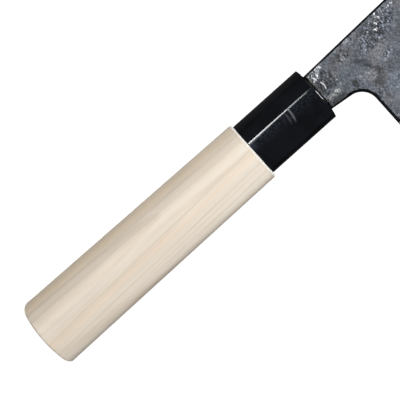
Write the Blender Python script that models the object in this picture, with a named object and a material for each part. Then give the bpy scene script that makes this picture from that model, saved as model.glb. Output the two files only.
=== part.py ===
"""Nakiri knife: a forged three-layer blade in a wooden handle with a black ferrule.

Metres. +X runs from the butt to the tip, +Z from the cutting edge to the spine, and -Y is the
knife's right side. World zero is the middle of the length, on the lowest line of the edge, in
the blade's mid-plane. Every piece is modelled in the handle's own frame, which the empty
called knife places: x is zero at the ferrule's front rim, z is zero on the handle's axis.
"""

import math

import bmesh
import bpy

# Fits
CLEARANCE = 0.0003  # between pieces that seat in or against each other
WELD_GAP = 0.0002  # the forge weld, drawn as a thin parting between the blade's layers
OVERCUT = 0.002  # how far a cutter runs past the face it opens

# Ferrule
FERRULE_LENGTH = 0.0312
FERRULE_HEIGHT = 0.0217
FERRULE_WIDTH = 0.0172
FERRULE_RIDGE_SOFTNESS = 0.045  # reach of the ridge's rounding each way, as a share of width
NOSE_DOME = 0.0011
NOSE_ROUND = 0.0004
FERRULE_FRONT_WALL = 0.0061
FERRULE_REAR_EASE = 0.0002

# Wooden handle
WOOD_LENGTH = 0.1011
WOOD_STEP = 0.0013  # how far the wood stands proud of the ferrule
WOOD_DROP = 0.0002  # how far the grip's middle lies below the axis
WOOD_CHAMFER = 0.0005
BUTT_HEIGHT = 0.0264
BUTT_WIDTH = 0.0212
BUTT_EASE = 0.0008  # rounding between the sides and the end
BUTT_ARC_RADIUS = 0.0505  # of the end's arch, as seen from the side
BUTT_ARC_DROP = 0.0010  # from the axis down to where the arch reaches furthest back
BUTT_CORNER_HEIGHT = 0.0033
BUTT_TOP_CORNER = 0.0015  # how far forward the upper corner runs, and then the lower one
BUTT_FOOT_CORNER = 0.0008
TENON_HEIGHT = 0.0170
TENON_WIDTH = 0.0130
TENON_CHAMFER = 0.0006
WOOD_RIDGE_SOFTNESS = 0.125

# Forked dowel in the handle, and the resin in and behind the ferrule's mouth
DOWEL_BORE = 0.0100
DOWEL_LENGTH = 0.0820
DOWEL_CHAMFER = 0.0005
FORK_WEB = 0.0050  # solid wood behind the fork's slot
DRILL_POINT = 0.0030
RESIN_LENGTH = 0.0024
RESIN_RING = 0.0006  # thickness of the resin round the neck, in the mouth
RESIN_RECESS = 0.0008  # from the top of the ferrule's dome back to the resin
MOUTH_ROUND = 0.0008

# Tang and neck
TANG_LENGTH = 0.0750
TANG_ROOT_HEIGHT = 0.0086
TANG_END_HEIGHT = 0.0056
TANG_ROOT_THICKNESS = 0.0032
TANG_END_THICKNESS = 0.0024
TANG_END_ROUND = 0.0016
NECK_LENGTH = 0.0150  # from the ferrule's front rim to the heel
NECK_BELOW_AXIS = 0.0078
NECK_FLARE = math.radians(6.7)
HEEL_FILLET = 0.0068

# Blade
BLADE_LENGTH = 0.1650
BLADE_HEIGHT = 0.0500  # at the heel
SPINE_ABOVE_AXIS = 0.0075
SPINE_RISE = math.radians(2.0)
SPINE_TIP_ABOVE_AXIS = 0.0088
SPINE_TIP_DROP = math.radians(3.0)
TIP_TOP_ROUND = 0.0140
TIP_EDGE_ROUND = 0.0030
HEEL_EDGE_RISE = 0.0004
TIP_EDGE_RISE = 0.0022
EDGE_LOW_POINT = 0.0600  # from the heel to where the edge lies lowest
SPINE_THICKNESS = 0.0036
SHOULDER_LINE_HEIGHT = 0.0150  # where the forged flat meets the ground bevel
SHOULDER_LINE_THICKNESS = 0.0029
TIP_THINNING = 0.0009
CORE_THICKNESS = 0.0010
EDGE_BEVEL_HEIGHT = 0.0008
EDGE_BEVEL_THICKNESS = 0.0004
SPINE_EASE = 0.0004
CHOIL_EASE = 0.0008

# Fineness of the curves
CURVE_STEPS = 8
RIDGE_STEPS = 4
ROUND_STEPS = 5
DOME_STEPS = 4
DOME_REACH = 0.90  # how far in a domed end's rings go, as a share of the way to its middle
CORNER_STEPS = 3
CHOIL_STEPS = 2
DOWEL_SIDES = 32
SPINE_STEPS = 12
HEEL_TO_LOW_STEPS = 4
LOW_TO_TIP_STEPS = 8
SMOOTH_ANGLE = math.radians(30)
MERGE_DISTANCE = 1e-6

# Places along the handle's axis
NOSE_X = NOSE_DOME
FERRULE_REAR_X = NOSE_X - FERRULE_LENGTH
WOOD_FRONT_X = FERRULE_REAR_X - CLEARANCE
BUTT_X = WOOD_FRONT_X - WOOD_LENGTH
MOUTH_X = NOSE_X - FERRULE_FRONT_WALL
RESIN_FRONT_X = MOUTH_X - CLEARANCE
RESIN_REAR_X = RESIN_FRONT_X - RESIN_LENGTH
RESIN_RING_X = NOSE_X - RESIN_RECESS
TENON_FRONT_X = RESIN_REAR_X - CLEARANCE
TANG_ROOT_X = MOUTH_X + CLEARANCE
TANG_END_X = TANG_ROOT_X - TANG_LENGTH
FORK_END_X = TANG_END_X - CLEARANCE
DOWEL_REAR_X = min(TENON_FRONT_X - DOWEL_LENGTH, FORK_END_X - FORK_WEB)
BORE_END_X = DOWEL_REAR_X - CLEARANCE
HEEL_X = NECK_LENGTH
TIP_X = HEEL_X + BLADE_LENGTH

# Heights from the handle's axis
HEEL_SPINE_Z = SPINE_ABOVE_AXIS + HEEL_X * math.tan(SPINE_RISE)
AXIS_HEIGHT = BLADE_HEIGHT - HEEL_SPINE_Z
FRAME_X = -(BUTT_X + TIP_X) / 2


def cubic(start, handle_a, handle_b, end, steps):
    """Points along a cubic curve in a plane, from start up to but without end."""
    points = []
    for i in range(steps):
        t = i / steps
        s = 1 - t
        weights = (s**3, 3 * s * s * t, 3 * s * t * t, t**3)
        knots = (start, handle_a, handle_b, end)
        points.append(tuple(sum(w * k[axis] for w, k in zip(weights, knots)) for axis in (0, 1)))
    return points


def quadratic(start, middle, end, steps):
    """Points along a quadratic curve in a plane, from start up to but without end."""
    near = tuple(a + 2 * (b - a) / 3 for a, b in zip(start, middle))
    far = tuple(a + 2 * (b - a) / 3 for a, b in zip(end, middle))
    return cubic(start, near, far, end, steps)


def toward(start, target, distance):
    """The point that lies a distance from start on the way to target."""
    span = math.dist(start, target)
    return tuple(a + (b - a) * distance / span for a, b in zip(start, target))


def d_section(height, width, softness):
    """The handle's outline across its axis, as (y, z) points from the top round the right side.

    The left side is half an oval. The right side comes to a softened ridge above the axis, with
    a rounded slope over it and a fuller, nearly flat flank below it.
    """
    y, z = width / 2, height / 2
    top = (0.0, z)
    ridge = (-y, 0.25 * z)
    slope_handle = (-0.80 * y, 0.60 * z)
    flank_handle = (-0.95 * y, -0.90 * z)
    bottom = (-0.04 * y, -z)
    left = (y, 0.0)
    ridge_top = toward(ridge, slope_handle, softness * width)
    ridge_foot = toward(ridge, flank_handle, softness * width)
    points = cubic(top, (-0.42 * y, z), slope_handle, ridge_top, CURVE_STEPS)
    points += quadratic(ridge_top, ridge, ridge_foot, RIDGE_STEPS)
    points += cubic(ridge_foot, flank_handle, (-0.80 * y, -z), bottom, CURVE_STEPS)
    points += cubic(bottom, (0.50 * y, -z), (y, -0.56 * z), left, CURVE_STEPS)
    points += cubic(left, (y, 0.56 * z), (0.54 * y, z), top, CURVE_STEPS)
    return points


def oval(height, width, count=None):
    """An ellipse as (y, z) points, in step with the D section's points or with even spacing."""
    if count is None:
        section = eased_ferrule(0.0)
        angles = [math.atan2(z / height, y / width) for y, z in section]
    else:
        angles = [math.pi / 2 + 2 * math.pi * i / count for i in range(count)]
    return [(width / 2 * math.cos(a), height / 2 * math.sin(a)) for a in angles]


def loft(bm, rings):
    """Skin a run of (x, outline) rings with equal counts, and close both ends."""
    loops = [[bm.verts.new((x, y, z)) for y, z in outline] for x, outline in rings]
    for near, far in zip(loops, loops[1:]):
        for i, vert in enumerate(near):
            j = (i + 1) % len(near)
            bm.faces.new((vert, near[j], far[j], far[i]))
    bm.faces.new(loops[0])
    bm.faces.new(loops[-1])
    bmesh.ops.recalc_face_normals(bm, faces=bm.faces[:])


def link(name, bm):
    """Turn a bmesh into a smooth-shaded object of the scene, on the knife's empty."""
    mesh = bpy.data.meshes.new(name)
    bm.to_mesh(mesh)
    bm.free()
    mesh.shade_smooth()
    mesh.set_sharp_from_angle(angle=SMOOTH_ANGLE)
    obj = bpy.data.objects.new(name, mesh)
    bpy.context.scene.collection.objects.link(obj)
    obj.parent = bpy.data.objects["knife"]
    return obj


def lofted(name, rings):
    """An object skinned over rings."""
    bm = bmesh.new()
    loft(bm, rings)
    return link(name, bm)


def block(name, x_range, y_range, z_range, corner=0.0):
    """A box between three pairs of limits, as an object, its edges along X rounded."""
    bm = bmesh.new()
    bmesh.ops.create_cube(bm, size=1.0)
    limits = (x_range, y_range, z_range)
    for vert in bm.verts:
        vert.co = [low if c < 0 else high for c, (low, high) in zip(vert.co, limits)]
    if corner > 0:
        ends = [(edge, edge.verts[0].co, edge.verts[1].co) for edge in bm.edges]
        along = [edge for edge, a, b in ends if abs(a.x - b.x) > MERGE_DISTANCE]
        bmesh.ops.bevel(bm, geom=along, offset=corner, segments=CORNER_STEPS, affect="EDGES")
    return link(name, bm)


def combine(obj, guide, operation):
    """Join another object's shape to one, or take it out, and keep the other as a guide."""
    guide.hide_render = True
    guide.display_type = "WIRE"
    boolean = obj.modifiers.new(guide.name, "BOOLEAN")
    boolean.operation = operation
    boolean.solver = "EXACT"
    boolean.object = guide


def cut(obj, cutter):
    """Take one object's shape out of another."""
    combine(obj, cutter, "DIFFERENCE")


def domed_end(section, rim_x, out, rim_round, dome, half_width):
    """Rings round a rim's edge and over a low dome, out from the piece along the axis.

    section gives the outline at a place and an inset, rim_x is where the dome begins, out is 1
    towards the tip or -1 towards the butt, and half_width is the way in to the dome's top.
    """
    last_inset = DOME_REACH * half_width
    rings = []
    for i in range(ROUND_STEPS + 1):
        angle = math.pi / 2 * i / ROUND_STEPS
        x = rim_x - out * rim_round * (1 - math.sin(angle))
        rings.append((x, section(x, rim_round * (1 - math.cos(angle)))))
    for i in range(1, DOME_STEPS + 1):
        inset = rim_round + (last_inset - rim_round) * i / DOME_STEPS
        share = (half_width - inset) / (half_width - rim_round)
        x = rim_x + out * dome * (1 - share**2)
        rings.append((x, section(x, inset)))
    return rings


def paint(obj, name, colour, roughness, metallic=0.0):
    """Give an object a material of its own."""
    material = bpy.data.materials.new(name)
    material.use_nodes = True
    shader = material.node_tree.nodes["Principled BSDF"]
    shader.inputs["Base Color"].default_value = (*colour, 1.0)
    shader.inputs["Roughness"].default_value = roughness
    shader.inputs["Metallic"].default_value = metallic
    obj.data.materials.append(material)


# The neck's outline, which the blade is drawn with and the ferrule's mouth fits


def neck_top(x):
    """Height of the spine's straight start at a place along the axis."""
    return SPINE_ABOVE_AXIS + x * math.tan(SPINE_RISE)


def neck_foot(x):
    """Height of the neck's underside at a place along the axis."""
    return -NECK_BELOW_AXIS - x * math.tan(NECK_FLARE)


# Handle, ferrule and what they hide


def ferrule():
    """Black cap: a D-section tube with a thick, domed front wall that the neck passes through."""
    rings = [
        (FERRULE_REAR_X, eased_ferrule(FERRULE_REAR_EASE)),
        (FERRULE_REAR_X + FERRULE_REAR_EASE, eased_ferrule(0.0)),
    ]
    rings += domed_end(ferrule_section, 0.0, 1, NOSE_ROUND, NOSE_DOME, FERRULE_WIDTH / 2)
    obj = lofted("ferrule", rings)
    cut(obj, ferrule_socket_cutter())
    cut(obj, ferrule_mouth_cutter())
    paint(obj, "black_ferrule", (0.010, 0.011, 0.013), 0.12)


def ferrule_section(_, inset):
    """The ferrule's outline, the same at every place, drawn in all round."""
    return eased_ferrule(inset)


def eased_ferrule(inset):
    """The ferrule's outline, drawn in all round by an inset."""
    height = FERRULE_HEIGHT - 2 * inset
    width = FERRULE_WIDTH - 2 * inset
    return d_section(height, width, FERRULE_RIDGE_SOFTNESS)


def ferrule_socket_cutter():
    """The hollow behind the front wall, which takes the resin and the handle's tenon."""
    outline = oval(TENON_HEIGHT + 2 * CLEARANCE, TENON_WIDTH + 2 * CLEARANCE)
    return lofted("socket_cutter", [(FERRULE_REAR_X - OVERCUT, outline), (MOUTH_X, outline)])


def neck_block(name, x_range, margin, corner=0.0):
    """A box that holds the neck's section at the ferrule's nose, with a margin all round."""
    half = neck_half_thickness(NOSE_X, HEEL_SPINE_Z) + margin
    z_range = (neck_foot(NOSE_X) - margin, neck_top(NOSE_X) + margin)
    return block(name, x_range, (-half, half), z_range, corner)


def ferrule_mouth_cutter():
    """The slot through the front wall, which leaves room for the resin round the neck."""
    margin = RESIN_RING + 2 * CLEARANCE
    return neck_block("mouth_cutter", (MOUTH_X - OVERCUT, NOSE_X + OVERCUT), margin, MOUTH_ROUND)


def wood_section(x, inset=0.0):
    """The wood's outline at a place along the axis, drawn in by an inset."""
    share = (WOOD_FRONT_X - x) / WOOD_LENGTH
    front_height = FERRULE_HEIGHT + 2 * WOOD_STEP
    front_width = FERRULE_WIDTH + 2 * WOOD_STEP
    height = front_height + (BUTT_HEIGHT - front_height) * share
    width = front_width + (BUTT_WIDTH - front_width) * share
    outline = d_section(height - 2 * inset, width - 2 * inset, WOOD_RIDGE_SOFTNESS)
    return [(y, z - WOOD_DROP) for y, z in outline]


def butt_arch(z):
    """How far the arched end lies forward of its furthest point, at a height."""
    arc = (z + BUTT_ARC_DROP) ** 2 / (2 * BUTT_ARC_RADIUS)
    from_middle = z + WOOD_DROP
    into = max(0.0, abs(from_middle) - (BUTT_HEIGHT / 2 - BUTT_CORNER_HEIGHT))
    corner = BUTT_TOP_CORNER if from_middle > 0 else BUTT_FOOT_CORNER
    return arc + corner * (into / BUTT_CORNER_HEIGHT) ** 2


def arch_butt(obj):
    """Bend the handle's flat end to its arch."""
    for vert in obj.data.vertices:
        if vert.co.x < BUTT_X + BUTT_EASE + MERGE_DISTANCE:
            vert.co.x += butt_arch(vert.co.z)


def wooden_handle():
    """Tapered D-section grip with a tenon in front, a chamfered step and an arched butt."""
    tenon = oval(TENON_HEIGHT, TENON_WIDTH)
    tenon_tip = oval(TENON_HEIGHT - 2 * TENON_CHAMFER, TENON_WIDTH - 2 * TENON_CHAMFER)
    rings = [
        (TENON_FRONT_X, tenon_tip),
        (TENON_FRONT_X - TENON_CHAMFER, tenon),
        (WOOD_FRONT_X, tenon),
        (WOOD_FRONT_X, wood_section(WOOD_FRONT_X, WOOD_CHAMFER)),
        (WOOD_FRONT_X - WOOD_CHAMFER, wood_section(WOOD_FRONT_X - WOOD_CHAMFER)),
    ]
    rings += domed_end(wood_section, BUTT_X, -1, BUTT_EASE, 0.0, BUTT_WIDTH / 2)
    obj = lofted("wooden_handle", rings)
    arch_butt(obj)
    cut(obj, dowel_bore_cutter())
    paint(obj, "ho_wood", (0.79, 0.70, 0.60), 0.55)


def dowel_bore_cutter():
    """The round bore down the handle, with the point that the drill leaves."""
    bore = oval(DOWEL_BORE, DOWEL_BORE, DOWEL_SIDES)
    point = oval(DOWEL_CHAMFER, DOWEL_CHAMFER, DOWEL_SIDES)
    rings = [(TENON_FRONT_X + OVERCUT, bore), (BORE_END_X, bore), (BORE_END_X - DRILL_POINT, point)]
    return lofted("bore_cutter", rings)


def tang_dowel():
    """Forked dowel that the tang is driven into: two prongs joined behind the tang's end."""
    radius_loss = 2 * DOWEL_CHAMFER
    across = DOWEL_BORE - 2 * CLEARANCE
    full = oval(across, across, DOWEL_SIDES)
    eased = oval(across - radius_loss, across - radius_loss, DOWEL_SIDES)
    rings = [
        (TENON_FRONT_X, eased),
        (TENON_FRONT_X - DOWEL_CHAMFER, full),
        (DOWEL_REAR_X + DOWEL_CHAMFER, full),
        (DOWEL_REAR_X, eased),
    ]
    obj = lofted("tang_dowel", rings)
    half = TANG_ROOT_THICKNESS / 2 + CLEARANCE
    slot_x = (FORK_END_X, TENON_FRONT_X + OVERCUT)
    cut(obj, block("fork_cutter", slot_x, (-half, half), (-DOWEL_BORE, DOWEL_BORE)))
    paint(obj, "dowel_wood", (0.62, 0.48, 0.33), 0.7)


def resin_collar():
    """Resin that fills the ferrule behind its front wall and seals the mouth round the neck."""
    outline = oval(TENON_HEIGHT, TENON_WIDTH)
    obj = lofted("resin_collar", [(RESIN_REAR_X, outline), (RESIN_FRONT_X, outline)])
    ring_x = (RESIN_FRONT_X - RESIN_LENGTH / 2, RESIN_RING_X)
    margin = RESIN_RING + CLEARANCE
    combine(obj, neck_block("resin_ring", ring_x, margin, MOUTH_ROUND), "UNION")
    neck_x = (RESIN_FRONT_X, NOSE_X + OVERCUT)
    cut(obj, neck_block("resin_neck_cutter", neck_x, CLEARANCE))
    half_y = TANG_ROOT_THICKNESS / 2 + CLEARANCE
    half_z = TANG_ROOT_HEIGHT / 2 + CLEARANCE
    tang_x = (RESIN_REAR_X - OVERCUT, NOSE_X + OVERCUT)
    cut(obj, block("resin_tang_cutter", tang_x, (-half_y, half_y), (-half_z, half_z)))
    paint(obj, "resin", (0.35, 0.20, 0.07), 0.3)


# The blade's thickness, as half-thickness from its mid-plane


def flat_half_thickness(x, z):
    """The forged flat: one plane that thins towards the edge and towards the tip."""
    fall = (SPINE_THICKNESS - SHOULDER_LINE_THICKNESS) / 2 / (BLADE_HEIGHT - SHOULDER_LINE_HEIGHT)
    thinning = TIP_THINNING / 2 / BLADE_LENGTH
    return SPINE_THICKNESS / 2 - fall * (HEEL_SPINE_Z - z) - thinning * (x - HEEL_X)


def neck_half_thickness(x, z):
    """The neck, which thins from the blade's heel to the root of the tang."""
    share = (x - TANG_ROOT_X) / (HEEL_X - TANG_ROOT_X)
    heel = flat_half_thickness(HEEL_X, z)
    return TANG_ROOT_THICKNESS / 2 + (heel - TANG_ROOT_THICKNESS / 2) * share


def tang_half_thickness(x):
    """The tang, which thins to its end."""
    share = (TANG_ROOT_X - x) / TANG_LENGTH
    return (TANG_ROOT_THICKNESS + (TANG_END_THICKNESS - TANG_ROOT_THICKNESS) * share) / 2


def steel_half_thickness(x, z):
    """The whole blade above its ground bevel, from the tang's end to the tip."""
    if x >= HEEL_X:
        return flat_half_thickness(x, z)
    if x >= TANG_ROOT_X:
        return neck_half_thickness(x, z)
    return tang_half_thickness(x)


# The blade's outline, as (x, z) points


def belly_z(x):
    """The cutting edge's long curve, lowest at its low point."""
    run = x - HEEL_X - EDGE_LOW_POINT
    if run < 0:
        rise = HEEL_EDGE_RISE * (run / EDGE_LOW_POINT) ** 2
    else:
        rise = TIP_EDGE_RISE * (run / (BLADE_LENGTH - EDGE_LOW_POINT)) ** 2
    return rise - AXIS_HEIGHT


def edge_z(x):
    """The cutting edge with its small round corner at the tip."""
    into = max(0.0, x - (TIP_X - TIP_EDGE_ROUND))
    return belly_z(x) + TIP_EDGE_ROUND - math.sqrt(max(0.0, TIP_EDGE_ROUND**2 - into**2))


def edge_stations():
    """Places along the edge where the ground bevel has a section."""
    low = HEEL_X + EDGE_LOW_POINT
    corner = TIP_X - TIP_EDGE_ROUND
    stations = [HEEL_X + (low - HEEL_X) * i / HEEL_TO_LOW_STEPS for i in range(HEEL_TO_LOW_STEPS)]
    stations += [low + (corner - low) * i / LOW_TO_TIP_STEPS for i in range(LOW_TO_TIP_STEPS)]
    for i in range(ROUND_STEPS + 1):
        stations.append(corner + TIP_EDGE_ROUND * math.sin(math.pi / 2 * i / ROUND_STEPS))
    return stations


def bevel_row(half_thickness):
    """The line along the ground bevel where the blade has a given half-thickness."""
    row = []
    for x in edge_stations():
        top = flat_half_thickness(x, belly_z(x) + SHOULDER_LINE_HEIGHT)
        share = (half_thickness - EDGE_BEVEL_THICKNESS / 2) / (top - EDGE_BEVEL_THICKNESS / 2)
        height = EDGE_BEVEL_HEIGHT + share * (SHOULDER_LINE_HEIGHT - EDGE_BEVEL_HEIGHT)
        row.append((x, belly_z(x) + height))
    return row


def shoulder_row():
    """The line where the forged flat meets the ground bevel."""
    return [(x, belly_z(x) + SHOULDER_LINE_HEIGHT) for x in edge_stations()]


def spine_points():
    """The tip's round corner from the front edge up, then the arched spine back to the heel."""
    start = TIP_X - TIP_TOP_ROUND * (1 - math.sin(SPINE_TIP_DROP))
    centre_x = TIP_X - TIP_TOP_ROUND
    centre_z = SPINE_TIP_ABOVE_AXIS - TIP_TOP_ROUND * math.cos(SPINE_TIP_DROP)
    sweep = math.pi / 2 - SPINE_TIP_DROP
    points = []
    for i in range(2 * ROUND_STEPS):
        angle = sweep * i / (2 * ROUND_STEPS)
        points.append(
            (centre_x + TIP_TOP_ROUND * math.cos(angle), centre_z + TIP_TOP_ROUND * math.sin(angle))
        )
    reach = (start - HEEL_X) / 3
    arch = cubic(
        (start, SPINE_TIP_ABOVE_AXIS),
        (start - reach, SPINE_TIP_ABOVE_AXIS + reach * math.tan(SPINE_TIP_DROP)),
        (HEEL_X + reach, HEEL_SPINE_Z + reach * math.tan(SPINE_RISE)),
        (HEEL_X, HEEL_SPINE_Z),
        SPINE_STEPS,
    )
    return points + arch + [(HEEL_X, HEEL_SPINE_Z)]


def heel_fillet_points():
    """The round corner under the neck, from the heel's upright edge to the neck's underside."""
    corner = (HEEL_X, neck_foot(HEEL_X))
    opening = math.pi / 2 + NECK_FLARE
    reach = HEEL_FILLET / math.tan(opening / 2)
    centre = (HEEL_X - HEEL_FILLET, corner[1] - reach)
    points = []
    for i in range(ROUND_STEPS + 1):
        angle = (math.pi - opening) * i / ROUND_STEPS
        points.append(
            (centre[0] + HEEL_FILLET * math.cos(angle), centre[1] + HEEL_FILLET * math.sin(angle))
        )
    return points


def tang_root(side):
    """Where the tang leaves the neck, above the axis for side 1 and below it for side -1."""
    return (TANG_ROOT_X, side * TANG_ROOT_HEIGHT / 2)


def tang_end_points():
    """The tang's end, with its corners taken off, from below the axis to above it."""
    z = TANG_END_HEIGHT / 2
    return [
        (TANG_END_X + TANG_END_ROUND, -z),
        (TANG_END_X, -z + TANG_END_ROUND),
        (TANG_END_X, z - TANG_END_ROUND),
        (TANG_END_X + TANG_END_ROUND, z),
    ]


def upper_faces(lower_row):
    """The plan of the blade above a row of its bevel: the flat, the neck and the tang."""
    fillet = heel_fillet_points()
    flat = lower_row + spine_points() + [fillet[0]]
    neck = [(HEEL_X, HEEL_SPINE_Z), (TANG_ROOT_X, neck_top(TANG_ROOT_X)), tang_root(1)]
    neck += [tang_root(-1), (TANG_ROOT_X, neck_foot(TANG_ROOT_X))] + fillet[::-1]
    tang = [tang_root(1)] + tang_end_points()[::-1] + [tang_root(-1)]
    return [flat, neck, tang]


def strip_faces(lower_row, upper_row):
    """The plan of the band between two rows, one face for each pair of stations."""
    faces = []
    for i in range(len(lower_row) - 1):
        faces.append([lower_row[i], lower_row[i + 1], upper_row[i + 1], upper_row[i]])
    return faces


def slab(plan, right_y, left_y):
    """A plate drawn in plan, extruded, and shaped on each side by a thickness function."""
    bm = bmesh.new()
    corners = {}
    for face in plan:
        for point in face:
            if point not in corners:
                corners[point] = bm.verts.new((point[0], 0.0, point[1]))
        bm.faces.new([corners[point] for point in face])
    right = bm.verts[:]
    extruded = bmesh.ops.extrude_face_region(bm, geom=bm.faces[:], use_keep_orig=True)
    left = [item for item in extruded["geom"] if isinstance(item, bmesh.types.BMVert)]
    for vert in right:
        vert.co.y = right_y(vert.co.x, vert.co.z)
    for vert in left:
        vert.co.y = left_y(vert.co.x, vert.co.z)
    bmesh.ops.remove_doubles(bm, verts=bm.verts[:], dist=MERGE_DISTANCE)
    bmesh.ops.dissolve_degenerate(bm, edges=bm.edges[:], dist=MERGE_DISTANCE)
    bmesh.ops.triangulate(bm, faces=[f for f in bm.faces if len(f.verts) > 4])
    bmesh.ops.recalc_face_normals(bm, faces=bm.faces[:])
    return bm


def blade_core():
    """Hard steel plate in the middle of the blade, ground to the cutting edge."""
    sharp = [(x, edge_z(x)) for x in edge_stations()]
    bevel = [(x, z + EDGE_BEVEL_HEIGHT) for x, z in sharp]
    full = bevel_row(CORE_THICKNESS / 2)
    halves = dict.fromkeys(sharp, 0.0)
    halves.update(dict.fromkeys(bevel, EDGE_BEVEL_THICKNESS / 2))
    plan = strip_faces(sharp, bevel) + strip_faces(bevel, full) + upper_faces(full)

    def half(x, z):
        """Half the core's thickness: tapered on its two lower rows, full above them."""
        near = min(halves, key=lambda point: math.dist(point, (x, z)))
        return halves[near] if math.dist(near, (x, z)) < MERGE_DISTANCE else CORE_THICKNESS / 2

    bm = slab(plan, lambda x, z: -half(x, z), half)
    paint(link("blade_core", bm), "core_steel", (0.62, 0.63, 0.65), 0.3, 1.0)


def cladding(name, side):
    """Soft iron layer on one side of the core, right for side -1 and left for side 1."""
    inner = CORE_THICKNESS / 2 + WELD_GAP
    feather = bevel_row(inner)
    shoulder = shoulder_row()
    feather_points = set(feather)
    plan = strip_faces(feather, shoulder) + upper_faces(shoulder)

    def outer(x, z):
        """The layer's outside, which meets the core at the layer's feathered foot."""
        near = min(feather_points, key=lambda point: math.dist(point, (x, z)))
        if math.dist(near, (x, z)) < MERGE_DISTANCE:
            return side * inner
        return side * steel_half_thickness(x, z)

    bm = slab(plan, outer, lambda x, z: side * inner)
    ease_rim(bm)
    paint(link(name, bm), name, (0.135, 0.14, 0.15), 0.5, 0.6)


def ease_rim(bm):
    """Take the sharp corner off a layer's outer rim: more at the choil, less along the spine."""
    bevel_rim(bm, True, CHOIL_EASE, CHOIL_STEPS)
    bevel_rim(bm, False, SPINE_EASE, 1)
    bmesh.ops.recalc_face_normals(bm, faces=bm.faces[:])


def on_choil(ends):
    """Whether an edge lies along the neck's underside or the heel."""
    highest = neck_foot(TANG_ROOT_X) + MERGE_DISTANCE
    return all(end.x < HEEL_X + MERGE_DISTANCE and end.z < highest for end in ends)


def bevel_rim(bm, choil, width, steps):
    """Round the layer's outer rim above the ground bevel: at the choil, or all the rest of it."""
    lowest = SHOULDER_LINE_HEIGHT - AXIS_HEIGHT + TIP_EDGE_RISE
    rim = []
    for edge in bm.edges:
        ends = [vert.co for vert in edge.verts]
        outside = all(abs(end.y) > CORE_THICKNESS / 2 + WELD_GAP + CHOIL_EASE for end in ends)
        above = all(end.z > lowest for end in ends)
        beyond_root = max(end.x for end in ends) > TANG_ROOT_X + MERGE_DISTANCE
        behind = min(end.x for end in ends) < TANG_ROOT_X - MERGE_DISTANCE
        if outside and above and beyond_root and not behind and on_choil(ends) == choil:
            if edge.calc_face_angle() > math.pi / 3:
                rim.append(edge)
    bmesh.ops.bevel(bm, geom=rim, offset=width, segments=steps, affect="EDGES")


def clear_scene():
    """Start from an empty scene."""
    for obj in list(bpy.data.objects):
        bpy.data.objects.remove(obj, do_unlink=True)


def place_knife():
    """The empty that carries every piece from the handle's frame to the world's."""
    empty = bpy.data.objects.new("knife", None)
    empty.location = (FRAME_X, 0.0, AXIS_HEIGHT)
    bpy.context.scene.collection.objects.link(empty)


def main():
    """Build the knife, from the blade back to the butt."""
    clear_scene()
    place_knife()
    blade_core()
    cladding("right_cladding", -1)
    cladding("left_cladding", 1)
    ferrule()
    resin_collar()
    tang_dowel()
    wooden_handle()


main()
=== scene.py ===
"""Looks of a nakiri knife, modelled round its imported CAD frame.

Metres. +X runs from the butt to the tip, +Z from the cutting edge to the spine, and -Y is the
knife's right side. Pieces are drawn in the handle's own frame, in which x is zero at the
ferrule's front rim and z is zero on the handle's axis, and are then moved to their place.
"""

import logging
import math
from bisect import bisect_left
from dataclasses import dataclass
from enum import Enum
from functools import cached_property
from typing import Callable, Sequence

import bmesh
import bpy
from mathutils import Matrix, Vector, noise
from mathutils.geometry import delaunay_2d_cdt
from mathutils.kdtree import KDTree


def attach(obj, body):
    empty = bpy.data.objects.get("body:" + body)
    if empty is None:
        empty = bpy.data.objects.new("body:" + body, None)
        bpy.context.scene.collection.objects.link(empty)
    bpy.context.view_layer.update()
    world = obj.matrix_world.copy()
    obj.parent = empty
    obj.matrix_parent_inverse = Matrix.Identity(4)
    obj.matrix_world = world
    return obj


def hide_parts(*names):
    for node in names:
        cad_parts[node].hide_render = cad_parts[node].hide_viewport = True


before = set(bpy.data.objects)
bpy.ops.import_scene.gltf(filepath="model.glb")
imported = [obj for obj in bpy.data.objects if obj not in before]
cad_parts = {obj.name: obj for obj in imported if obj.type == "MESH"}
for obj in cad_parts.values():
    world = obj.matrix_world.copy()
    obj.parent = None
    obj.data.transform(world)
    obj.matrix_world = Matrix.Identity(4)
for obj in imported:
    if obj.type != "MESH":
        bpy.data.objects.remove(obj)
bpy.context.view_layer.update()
LOG = logging.getLogger("nakiri")

Point = tuple[float, float]
Outline = list[Point]
Ring = tuple[float, Outline]
Colour = tuple[float, float, float]
Triple = tuple[float, float, float]
Shape = Callable[[float, float], float]

MM = 0.001
MERGE = 1e-6
QUARTER = math.pi / 2
HANDLE_ORIGIN = Vector((-0.02425, 0.0, 0.041976))  # the handle's frame in the world
END_GRAIN = "end_grain"  # how squarely a point of the handle faces the butt's end
RIM, GROUND = "rim", "ground"  # how near the blade's rim, and how deep in its ground bevel


class Side(Enum):
    """The two faces of the blade, as the sign of y."""

    RIGHT = -1
    LEFT = 1


class Mark(Enum):
    """What a patch on the forged flat changes, by the name of its mask."""

    ROUGH = "rough"
    # Painted glints.
    GLINT = "glint"
    TONE = "tone"
    WARM = "warm"
    CHALK = "chalk"
    STAIN = "stain"


# Curves and sections

# The handle's section: points and curve handles as shares of half its width and half its height
TOP, RIDGE, FOOT, LEFT = (0.0, 1.0), (-1.0, 0.25), (-0.04, -1.0), (1.0, 0.0)
SLOPE = ((-0.42, 1.0), (-0.80, 0.60))
FLANK = ((-0.95, -0.90), (-0.80, -1.0))
LEFT_FOOT = ((0.50, -1.0), (1.0, -0.56))
LEFT_TOP = ((1.0, 0.56), (0.54, 1.0))

RIM_STEPS, DOME_STEPS = 8, 24
DOME_REACH = 0.94  # how far in a dome's rings go, as a share of the way


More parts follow.
